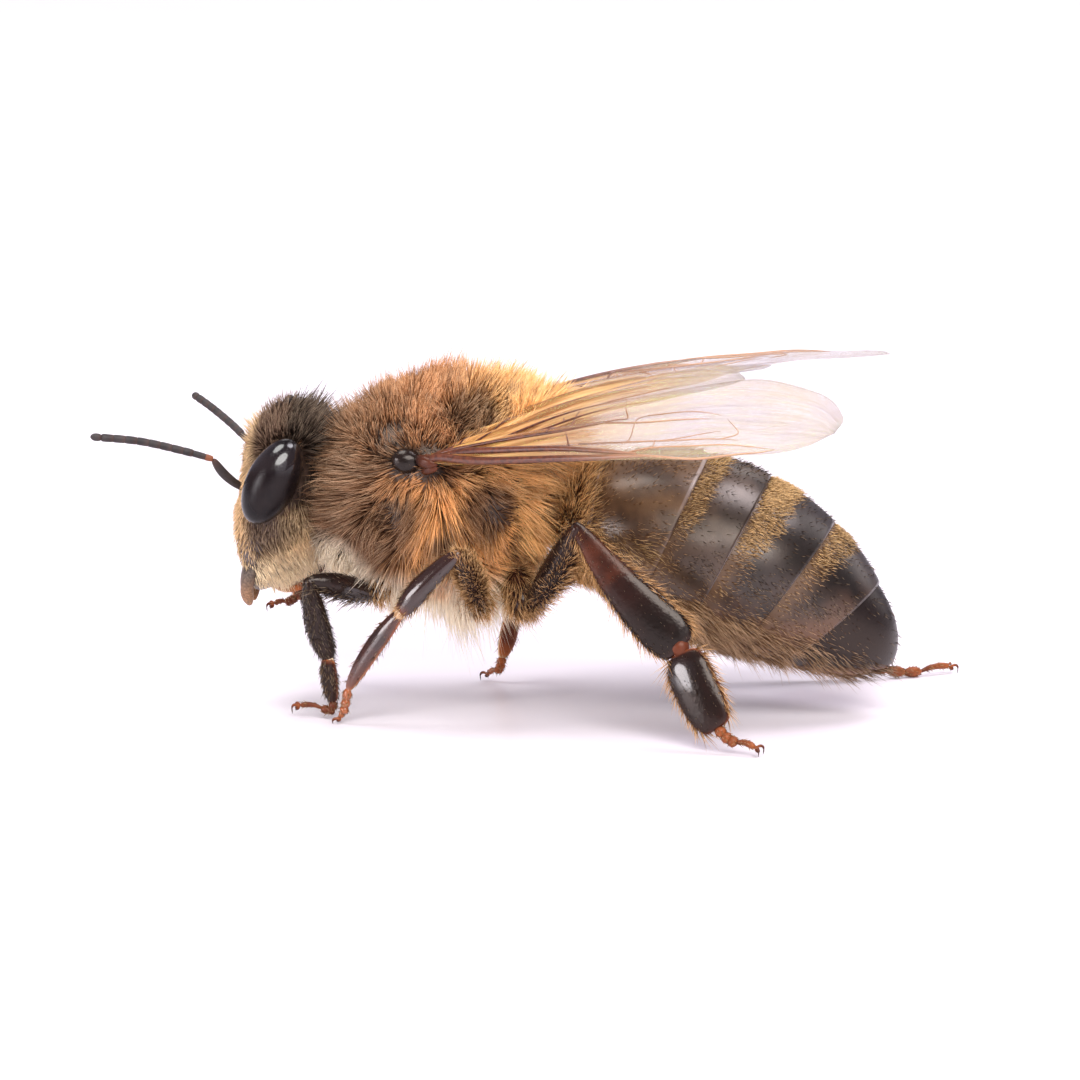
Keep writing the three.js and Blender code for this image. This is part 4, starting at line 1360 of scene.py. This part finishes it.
def wing_place(side, u, v, lift=0.0):
    """Points of a wing at shares u along it and v behind its front edge, lifted off its skin."""
    along, across, up = wing_frame(side)
    u, v = np.asarray(u, float), np.asarray(v, float)
    rise = -WING_POSE[side]["droop"] * u**2 + lift
    points = np.array(WING_HINGE) + WING_LENGTH * (by(u, along) + by(v, across)) + by(rise, up)
    return points * np.array([SIDES[side], 1, 1])


def wing_wave(wing, u, v):
    """How far the folded skin of a wing stands off its plane, in mm."""
    fold = 1 - smooth(u, 0.35, 0.85)
    slope = v / np.maximum(0.06 + 0.42 * u, 0.05)
    wave = 0.09 * np.sin(slope * 15) * fold + 0.03 * np.sin(u * 23 + v * 30) * (1 - fold) * 0.6
    return wave * smooth(u, 0.0, 0.08) * (1.0 if wing == "fore" else 0.7)


def wing_rings(wing, side, thickness):
    """A wing's skin as rings round its thin section, and how far out each point is."""
    rows, columns = 110, 40
    t = (1 - np.cos(np.pi * np.arange(rows + 1) / rows)) / 2
    c = np.linspace(0, 1, columns)
    front, back = (catmull(WINGS[wing][edge], t) for edge in ("front", "back"))
    # the two edges draw together towards the tip
    mid = (front + back) / 2
    narrow = np.maximum(1 - np.clip((t - 0.93) / 0.07, 0, 1) ** 2, 0)[:, None] ** 0.5
    front, back = mid + (front - mid) * narrow, mid + (back - mid) * narrow
    flat = front[:, None] + (back - front)[:, None] * c[None, :, None]
    u, v = flat[..., 0], flat[..., 1]
    wave = wing_wave(wing, u, v)
    half = thickness / 2 * np.sqrt(np.maximum(1 - (2 * c - 1) ** 8, 0.02))[None]
    above = wing_place(side, u, v, wave + half)
    under = wing_place(side, u, v, wave - half)
    rings = np.concatenate([above, under[:, ::-1]], 1)
    if side == "left":
        rings = rings[:, ::-1]
    far = np.concatenate([u, u[:, ::-1]], 1)
    return rings, far


# How the hairs of a coat stand: how many joints each has, its share of the usual thickness, how
# far it draws to its tuft and how wide the tufts are, how far it bends to the comb and how far
# its lie wanders.
LAYS = {
    name: dict(zip(("steps", "thin", "clump", "clump_size", "bend", "spread"), values))
    for name, values in {
        "back": (3, 0.8, 0.12, 0.12, 0.55, 0.24),
        "flank": (3, 0.8, 0.7, 0.26, 0.55, 0.24),
        "belly": (3, 0.8, 0.5, 0.2, 0.55, 0.24),
        "neck": (3, 1.0, 0.5, 0.2, 0.5, 0.2),
        "head": (2, 0.85, 0.3, 0.12, 0.5, 0.2),
        "abdomen": (2, 0.55, 0.25, 0.1, 0.25, 0.25),
        "legs": (2, 0.6, 0.15, 0.08, 0.3, 0.25),
    }.items()
}
# The lights: name, the way to it, how far off, its size, its power and its tint.
LIGHTS = [
    ("key", (0.74, 0.2, 0.62), 0.34, (0.3, 0.18), 1.45, (1.0, 0.985, 0.96)),
    ("sky", (0.05, -0.36, 1.0), 0.42, (0.24, 0.24), 1.15, (1.0, 1.0, 0.98)),
    ("over", (-0.16, 0.42, 0.9), 0.42, (0.22, 0.22), 1.1, (0.97, 0.93, 1.0)),
    ("side", (0.9, 0.42, 0.22), 0.4, (0.3, 0.3), 0.25, (0.95, 0.91, 1.0)),
    ("front", (0.5, -0.86, 0.16), 0.4, (0.2, 0.12), 0.68, (1.0, 0.96, 1.0)),
    ("rear", (-0.5, 0.75, 0.45), 0.4, (0.25, 0.25), 0.2, (1.0, 0.97, 1.0)),
    ("far", (-0.86, 0.0, 0.5), 0.5, (0.3, 0.3), 0.8, (1.0, 0.99, 1.0)),
]
# The point the camera looks at, in the bee's own coordinates, and half the width of the floor, m.
AIM = (0, 1.97, 3.38)
FLOOR = 0.9


# ------------------------------------------------------------------ what a user may change
def share(name, text):
    return FloatProperty(name=name, description=text, default=1.0, min=0.1, max=2.0, subtype="FACTOR")


def length(name, text, default, **limits):
    return FloatProperty(name=name, description=text, default=default, unit="LENGTH", **limits)


def angle(name, text, degrees):
    return FloatProperty(name=name, description=text, default=math.radians(degrees), subtype="ANGLE")


def colour(name, text, default):
    return FloatVectorProperty(
        name=name, description=text, default=default, size=3, min=0, max=1, subtype="COLOR"
    )


class BeeCoat(bpy.types.PropertyGroup):
    length: share("Length", "Length of the hair, against its natural length")
    density: share("Density", "Number of hairs, against their natural number")
    thickness: length(
        "Thickness", "Thickness of one hair", 0.000024, min=0.00001, max=0.0001, precision=6
    )
    seed: IntProperty(name="Seed", description="Changes where the hairs stand", default=7, min=0)


class BeeColours(bpy.types.PropertyGroup):
    collar: colour("Collar", "Hair of the thorax by the neck", (0.26, 0.12, 0.055))
    back: colour("Back", "Hair on the middle of the thorax", (0.60, 0.26, 0.10))
    saddle: colour("Saddle", "Hair at the rear of the thorax", (0.98, 0.56, 0.21))
    flank: colour("Flank", "Hair on the thorax's sides", (1.0, 0.45, 0.135))
    shade: colour("Shade", "The darkest tufts of the thorax", (0.16, 0.068, 0.03))
    cream: colour("Cream", "Hair below and on the chin", (1.0, 0.88, 0.68))
    crown: colour("Crown", "Hair on top of the head", (0.125, 0.068, 0.045))
    face: colour("Face", "Hair on the front of the head", (0.92, 0.62, 0.33))
    cheek: colour("Cheek", "Hair on the cheeks", (0.48, 0.33, 0.18))
    band: colour("Band", "Felt across the abdomen", (0.80, 0.50, 0.21))
    fringe: colour("Fringe", "Hair along the legs' edges", (0.70, 0.38, 0.15))
    underfur: colour("Underfur", "Skin between the hairs", (0.11, 0.05, 0.022))
    chitin: colour("Chitin", "Black horn", (0.010, 0.007, 0.006))
    amber: colour("Amber", "Brown horn of the feet and jaws", (0.36, 0.10, 0.03))
    eye: colour("Eye", "Eyes", (0.005, 0.0035, 0.004))
    membrane: colour("Membrane", "Wing skin at the tip", (0.40, 0.30, 0.26))


class BeeWings(bpy.types.PropertyGroup):
    thickness: length("Skin", "Thickness of the wing skin", 0.000016, precision=6)
    vein: share("Veins", "Thickness of the veins, against their natural thickness")


class BeeStage(bpy.types.PropertyGroup):
    azimuth: angle("Azimuth", "Which way the camera looks", 96)
    elevation: angle("Elevation", "How high the camera stands", 10)
    distance: length("Distance", "From the camera to the bee", 0.12)
    lens: FloatProperty(
        name="Lens", description="Focal length of the camera", default=203.2, subtype="DISTANCE_CAMERA"
    )
    light: share("Light", "Strength of the lights")


class BeeOperator:
    """What the bee's operators share."""

    bl_options = {"REGISTER", "UNDO"}


# ------------------------------------------------------------------ operators
class BEE_OT_stage(BeeOperator, bpy.types.Operator):
    """Lay the floor, hang the lights and place the camera"""

    bl_idname = "bee.stage"
    bl_label = "Stage"

    def execute(self, context):
        scene = context.scene
        choice = scene.bee_stage
        scene.view_settings.view_transform = "Standard"
        world = bpy.data.worlds.new("studio")
        world.use_nodes = True
        background = world.node_tree.nodes["Background"]
        background.inputs["Color"].default_value = (0.90, 0.82, 1.0, 1)
        background.inputs["Strength"].default_value = 0.27
        scene.world = world

        f = Finish("floor", roughness=0.28, specular_ior_level=0.22)
        cloud = f.noise(f.place, 0.05)
        f.set(base_color=f.mix(cloud.over(0.3, 0.7), (0.82, 0.77, 0.83), (0.84, 0.79, 0.85)))
        mesh = bpy.data.meshes.new("floor")
        corners = [(-FLOOR, -FLOOR, 0), (FLOOR, -FLOOR, 0), (FLOOR, FLOOR, 0), (-FLOOR, FLOOR, 0)]
        mesh.from_pydata(corners, [], [(0, 1, 2, 3)])
        mesh.materials.append(f.material)
        floor = bpy.data.objects.new("floor", mesh)
        scene.collection.objects.link(floor)

        target = Vector(AIM) * MM + ORIGIN
        a, e = choice.azimuth, choice.elevation
        back = Vector((math.sin(a) * math.cos(e), -math.cos(a) * math.cos(e), math.sin(e)))
        camera = bpy.data.cameras.new("camera")
        camera.sensor_width = 36
        camera.lens = choice.lens
        camera.clip_start = 0.001
        camera.clip_end = 10
        eye = bpy.data.objects.new("camera", camera)
        eye.location = target + back * choice.distance
        eye.rotation_euler = (-back).to_track_quat("-Z", "Y").to_euler()
        scene.collection.objects.link(eye)
        scene.camera = eye

        for name, way, distance, size, power, tint in LIGHTS:
            lamp = bpy.data.lights.new(name, "AREA")
            lamp.shape = "ELLIPSE"
            lamp.size, lamp.size_y = size
            lamp.energy = power * choice.light
            lamp.color = tint
            lit = bpy.data.objects.new(name, lamp)
            way = Vector(way).normalized()
            lit.location = target + way * distance
            aim = way if name != "far" else Vector((0, 0, 1))
            lit.rotation_euler = (-aim).to_track_quat("-Z", "Y").to_euler()
            scene.collection.objects.link(lit)
        return {"FINISHED"}


class BEE_OT_thorax(BeeOperator, bpy.types.Operator):
    """Make the skin of the thorax and neck, under the coat"""

    bl_idname = "bee.thorax"
    bl_label = "Thorax"

    def execute(self, context):
        rings, neck = thorax_rings(), neck_rings()
        waist = loft(middle(WAIST), 16, 40)
        fur = [thorax_fur(rings)["fur"], spread(neck, [1, 1]), spread(waist, [0, 0])]
        bodies = [rings, neck, waist]
        build("thorax_skin", bodies, "body_fur", ("thorax", "neck"), "thorax_skin", fur=fur)
        return {"FINISHED"}


class BEE_OT_head(BeeOperator, bpy.types.Operator):
    """Make the skin of the head and the three small eyes on its crown"""

    bl_idname = "bee.head"
    bl_label = "Head"

    def execute(self, context):
        rings = head_rings()
        sockets = [
            limb([(s * 0.42, -3.66, 4.3), (s * 0.44, -3.78, 4.36)], [0.15, 0.13], 1, UP, 3, 10, 20)
            for s in SIDES.values()
        ]
        fur = [head_fur(rings)["fur"]] + [spread(socket, [0, 0]) for socket in sockets]
        build("head_skin", [rings, *sockets], "face_fur", ("head",), "head_skin", fur=fur)
        beads = [bead((*spot, z - 0.1), (*spot, z + 0.08), 0.1, 0.1, 14, 20) for *spot, z in CROWN_EYES]
        build("crown_eyes", beads, "eye", (), "eyes")
        return {"FINISHED"}


class BEE_OT_eyes(BeeOperator, bpy.types.Operator):
    """Make the two large eyes"""

    bl_idname = "bee.eyes"
    bl_label = "Eyes"

    def execute(self, context):
        lean = math.radians(EYE["lean"])
        wide, deep, tall = EYE["half"]
        way = np.array([0, -math.sin(lean), math.cos(lean)]) * tall
        for side, s in SIDES.items():
            centre = np.array(EYE["at"]) * (s, 1, 1)
            globe = bead(centre - way, centre + way, deep, wide, 60, 64, (0, 1, 0))
            build(f"eye_{side}_globe", [globe], "eye", (f"eye_{side}",), "eyes")
        return {"FINISHED"}


class BEE_OT_mouth(BeeOperator, bpy.types.Operator):
    """Make the lip, the jaws and the folded tongue"""

    bl_idname = "bee.mouth"
    bl_label = "Mouth"

    def execute(self, context):
        lip = limb(*LIP, 0.34, ACROSS, 3.4, 30, 36)
        build("upper_lip", [lip], "horn", ("labrum",), "lip_horn")
        palps = []
        for side, s in SIDES.items():
            points, radii = JAW
            jaw = limb(mirror(points, s), radii, 0.8, (0, 1, 0.3), 3.4, 34, 30)
            build(f"jaw_{side}", [jaw], "horn", (f"mandible_{side}",), "lip_horn")
            points, radii = PALP
            palps.append(limb(mirror(points, s), radii, 0.6, UP, 2.6, 24, 16))
        parts = [limb(*TONGUE, 0.8, ACROSS, 2.6, 26, 20), *palps]
        tone = [spread(part, [0.7, 0.8, 0.6]) for part in parts]
        build("tongue", parts, "horn", ("proboscis",), "mouth_horn", tone=tone)
        return {"FINISHED"}


class BEE_OT_feelers(BeeOperator, bpy.types.Operator):
    """Make the two feelers, with a shaft, a joint and ten rings each"""

    bl_idname = "bee.feelers"
    bl_label = "Feelers"

    def execute(self, context):
        for side, points in FEELERS.items():
            shaft = limb(points[:3], [0.07, 0.085, 0.095, 0.09], 0.95, UP, 3, 26, 22)
            path = catmull(points[2:], np.linspace(0, 1, 200))
            run = np.concatenate([[0], np.cumsum(np.linalg.norm(np.diff(path, axis=0), axis=1))])
            run /= run[-1]
            # the first two joints are short and thin, the others alike
            joints = np.concatenate([[0, 0.06, 0.17], np.linspace(0.245, 1, 9)])
            bodies, tone = [shaft], [spread(shaft, [0.3, 0.02, 0.0, 0.12])]
            for i, (a, b) in enumerate(zip(joints[:-1], joints[1:])):
                along = np.linspace(a - 0.004, b + 0.006, 4)
                ring = np.stack([np.interp(along, run, path[:, k]) for k in range(3)], -1)
                thick = 0.078 if i > 1 else 0.066
                radii = [thick * 0.95, thick, thick * 1.02, thick]
                if i == 0:
                    radii = [thick * 0.75, thick, thick]
                if b == 1:
                    radii = [thick * 0.9, thick, thick * 0.95, thick * 0.6]
                bodies.append(limb(ring, radii, 1, UP, 8 if b < 1 else 2.8, 14, 20))
                tone.append(spread(bodies[-1], [0.1, 0.0, 0.0] if i else [0.4, 0.5, 0.3]))
            nodes = (f"scape_{side}", f"flagellum_{side}")
            build(f"feeler_{side}", bodies, "feeler", nodes, "feelers", tone=tone)
        return {"FINISHED"}


class BEE_OT_abdomen(BeeOperator, bpy.types.Operator):
    """Make the six ringed plates of the abdomen, each tucked under the one before it"""

    bl_idname = "bee.abdomen"
    bl_label = "Abdomen"

    def execute(self, context):
        for k in range(LAST_PLATE + 1):
            rings, edge = plate_rings(k)
            values = {"edge": [edge], "plate": [np.full(edge.shape, float(k))]}
            nodes = (f"abdomen_{k + 1}",)
            build(f"plate_{k + 1}", [rings], "plate", nodes, "abdomen_plates", **values)
        return {"FINISHED"}


class BEE_OT_wings(BeeOperator, bpy.types.Operator):
    """Make the four wings, their veins and the shoulder plates over their roots"""

    bl_idname = "bee.wings"
    bl_label = "Wings"

    def execute(self, context):
        choice = context.scene.bee_wings
        for side, s in SIDES.items():
            for wing, shape in WINGS.items():
                node = f"{wing}_wing_{side}"
                rings, out = wing_rings(wing, side, choice.thickness / MM)
                build(node + "_skin", [rings], "wing", (node,), "wing_membrane", out=[out])
                paths = []
                for line, first, last in shape["veins"].values():
                    u, v = catmull(line, np.linspace(0, 1, 24)).T
                    points = wing_place(side, u, v, wing_wave(wing, u, v))
                    paths.append((points, first * choice.vein, last * choice.vein))
                tubes(node + "_veins", paths, "wing_veins", "wing", (node,))
            low, high = mirror([(1.7, -0.5, 4.95), (1.6, -0.42, 5.42)], s)
            bodies = [bead(low, high, 0.31, 0.2, 30, 36, (0, 1, 0))]
            for points, radii in WING_ROOTS:
                bodies.append(limb(mirror(points, s), radii, 0.7, UP, 2.6, 20, 16))
            tone = [spread(bodies[0], [0, 0])] + [spread(b, [0.2, 0.34, 0.46]) for b in bodies[1:]]
            build(f"shoulder_{side}", bodies, "horn", (f"tegula_{side}",), "leg_horn", tone=tone)
        return {"FINISHED"}


class BEE_OT_legs(BeeOperator, bpy.types.Operator):
    """Make the six legs, their feet and their claws"""

    bl_idname = "bee.legs"
    bl_label = "Legs"

    def execute(self, context):
        for leg in LEGS:
            part, side = leg.split("_")
            tones = TONES[part]
            more = 0.0 if side == "left" else FAR_TONE
            made = leg_bodies(leg)
            upper = {k: made[k] for k in ("coxa", "femur", "tibia")}
            tone = [spread(rings, tones[k]) + more for k, rings in upper.items()]
            knee, ankle, heel = (np.array(point) for point in LEGS[leg][2:5])
            above, below = unit(ankle - knee) * 0.12, unit(heel - ankle) * 0.22
            radii, pale = JOINT[part]
            points = [ankle - above, ankle, ankle + below]
            joint = limb(points, radii, 0.8, leg_wide(leg), 2.6, 16, 18)
            tone.append(spread(joint, [pale - 0.1, pale, pale - 0.1]) + more * 0.5)
            nodes = tuple(f"{k}_{leg}" for k in upper)
            build(f"leg_{leg}", [*upper.values(), joint], "leg", nodes, "leg_horn", tone=tone)
            toes, claws = toe_bodies(leg)
            foot = made["basitarsus"]
            # rim: paler amber along the thin edges of the first foot joint, partly the horn's own tone
            # and partly painted light showing through the edges
            rim = np.abs(np.cos(turns(foot.shape[1])))[None] ** 10 * 0.45
            tone = [spread(foot, tones["basitarsus"]) + more + rim]
            tone += [spread(toe, tones["toes"]) for toe in toes]
            tone += [spread(claw, [0.75, 0.5, 0.15]) for claw in claws]
            nodes = (f"basitarsus_{leg}", f"tarsus_{leg}")
            build(f"foot_{leg}", [foot, *toes, *claws], "foot", nodes, "leg_horn", tone=tone)
        return {"FINISHED"}


class BEE_OT_thorax_coat(BeeOperator, bpy.types.Operator):
    """Grow the coat of the thorax and neck"""

    bl_idname = "bee.thorax_coat"
    bl_label = "Thorax coat"

    def execute(self, context):
        rings = thorax_rings()
        field = thorax_fur(rings)
        up = normals(rings)[..., 2]
        left = rings[..., 0] > 0
        front = rings[..., 1] < -0.2
        top, under = up > 0.55, up <= -0.55
        flank = ~top & ~under
        regions = {
            "crest": (top & front, "back", 1300),
            "saddle": (top & ~front, "back", 1300),
            "left": (flank & left, "flank", 900),
            "right": (flank & ~left, "flank", 700),
            "belly": (under, "belly", 620),
        }
        look = ("thorax_hair", "body_fur")
        for i, (name, (inside, lay, density)) in enumerate(regions.items()):
            part = dict(field, fur=field["fur"] * inside)
            coat(f"thorax_coat_{name}", [rings], [part], *look, ("thorax",), lay, density, i)
        neck = neck_rings()
        coat("neck_coat", [neck], [neck_fur(neck)], *look, ("neck",), "neck", 600, 9)
        return {"FINISHED"}


class BEE_OT_head_coat(BeeOperator, bpy.types.Operator):
    """Grow the coat of the head"""

    bl_idname = "bee.head_coat"
    bl_label = "Head coat"

    def execute(self, context):
        rings = head_rings()
        field = head_fur(rings)
        coat("head_coat", [rings], [field], "head_hair", "face_fur", ("head",), "head", 1000, 11)
        return {"FINISHED"}


class BEE_OT_abdomen_coat(BeeOperator, bpy.types.Operator):
    """Grow the hair of the abdomen: long behind the waist and below, felted across the bands"""

    bl_idname = "bee.abdomen_coat"
    bl_label = "Abdomen coat"

    def execute(self, context):
        look = ("abdomen_hair", "body_fur")
        for name, ks in (("front", (0, 1)), ("bands", (2, 3)), ("rear", (4, 5))):
            made = [plate_rings(k) for k in ks]
            fields = [plate_fur(k, *plate) for k, plate in zip(ks, made)]
            bodies = [plate[0] for plate in made]
            nodes = tuple(f"abdomen_{k + 1}" for k in ks)
            seed = 21 + ks[0]
            coat(f"abdomen_coat_{name}", bodies, fields, *look, nodes, "abdomen", 1500, seed)
        return {"FINISHED"}


class BEE_OT_leg_coat(BeeOperator, bpy.types.Operator):
    """Grow the hair of the legs"""

    bl_idname = "bee.leg_coat"
    bl_label = "Leg coat"

    def execute(self, context):
        for side in SIDES:
            bodies, fields, nodes = [], [], []
            for leg in (leg for leg in LEGS if leg.endswith(side)):
                made = leg_bodies(leg)
                nodes += [f"{piece}_{leg}" for piece in made]
                pieces = [*made.items(), *(("toe", rings) for rings in toe_bodies(leg)[0])]
                bodies += [rings for piece, rings in pieces]
                fields += [leg_fur(leg.split("_")[0], *piece) for piece in pieces]
            coat(f"leg_coat_{side}", bodies, fields, "leg_hair", "leg", nodes, "legs", 800, 31)
        return {"FINISHED"}


class BEE_PT_bee(bpy.types.Panel):
    """The bee's sizes, colours and makers"""

    bl_label = "Honey bee"
    bl_idname = "BEE_PT_bee"
    bl_space_type = "VIEW_3D"
    bl_region_type = "UI"
    bl_category = "Bee"

    def draw(self, context):
        layout = self.layout
        for group in GROUPS:
            box = layout.box()
            box.label(text=group.title())
            choice = getattr(context.scene, f"bee_{group}")
            for key in choice.__annotations__:
                box.prop(choice, key)
        for maker in MAKERS:
            layout.operator(maker.bl_idname)


GROUPS = {"coat": BeeCoat, "colours": BeeColours, "wings": BeeWings, "stage": BeeStage}
MAKERS = (
    BEE_OT_stage,
    BEE_OT_thorax,
    BEE_OT_head,
    BEE_OT_eyes,
    BEE_OT_mouth,
    BEE_OT_feelers,
    BEE_OT_abdomen,
    BEE_OT_wings,
    BEE_OT_legs,
    BEE_OT_thorax_coat,
    BEE_OT_head_coat,
    BEE_OT_abdomen_coat,
    BEE_OT_leg_coat,
)


def register():
    for kind in (*GROUPS.values(), *MAKERS, BEE_PT_bee):
        bpy.utils.register_class(kind)
    for name, kind in GROUPS.items():
        setattr(bpy.types.Scene, f"bee_{name}", PointerProperty(type=kind))


def unregister():
    for name in GROUPS:
        delattr(bpy.types.Scene, f"bee_{name}")
    for kind in reversed((*GROUPS.values(), *MAKERS, BEE_PT_bee)):
        bpy.utils.unregister_class(kind)


def main():
    register()
    for maker in MAKERS:
        family, verb = maker.bl_idname.split(".")
        getattr(getattr(bpy.ops, family), verb)()


if __name__ == "__main__":
    main()
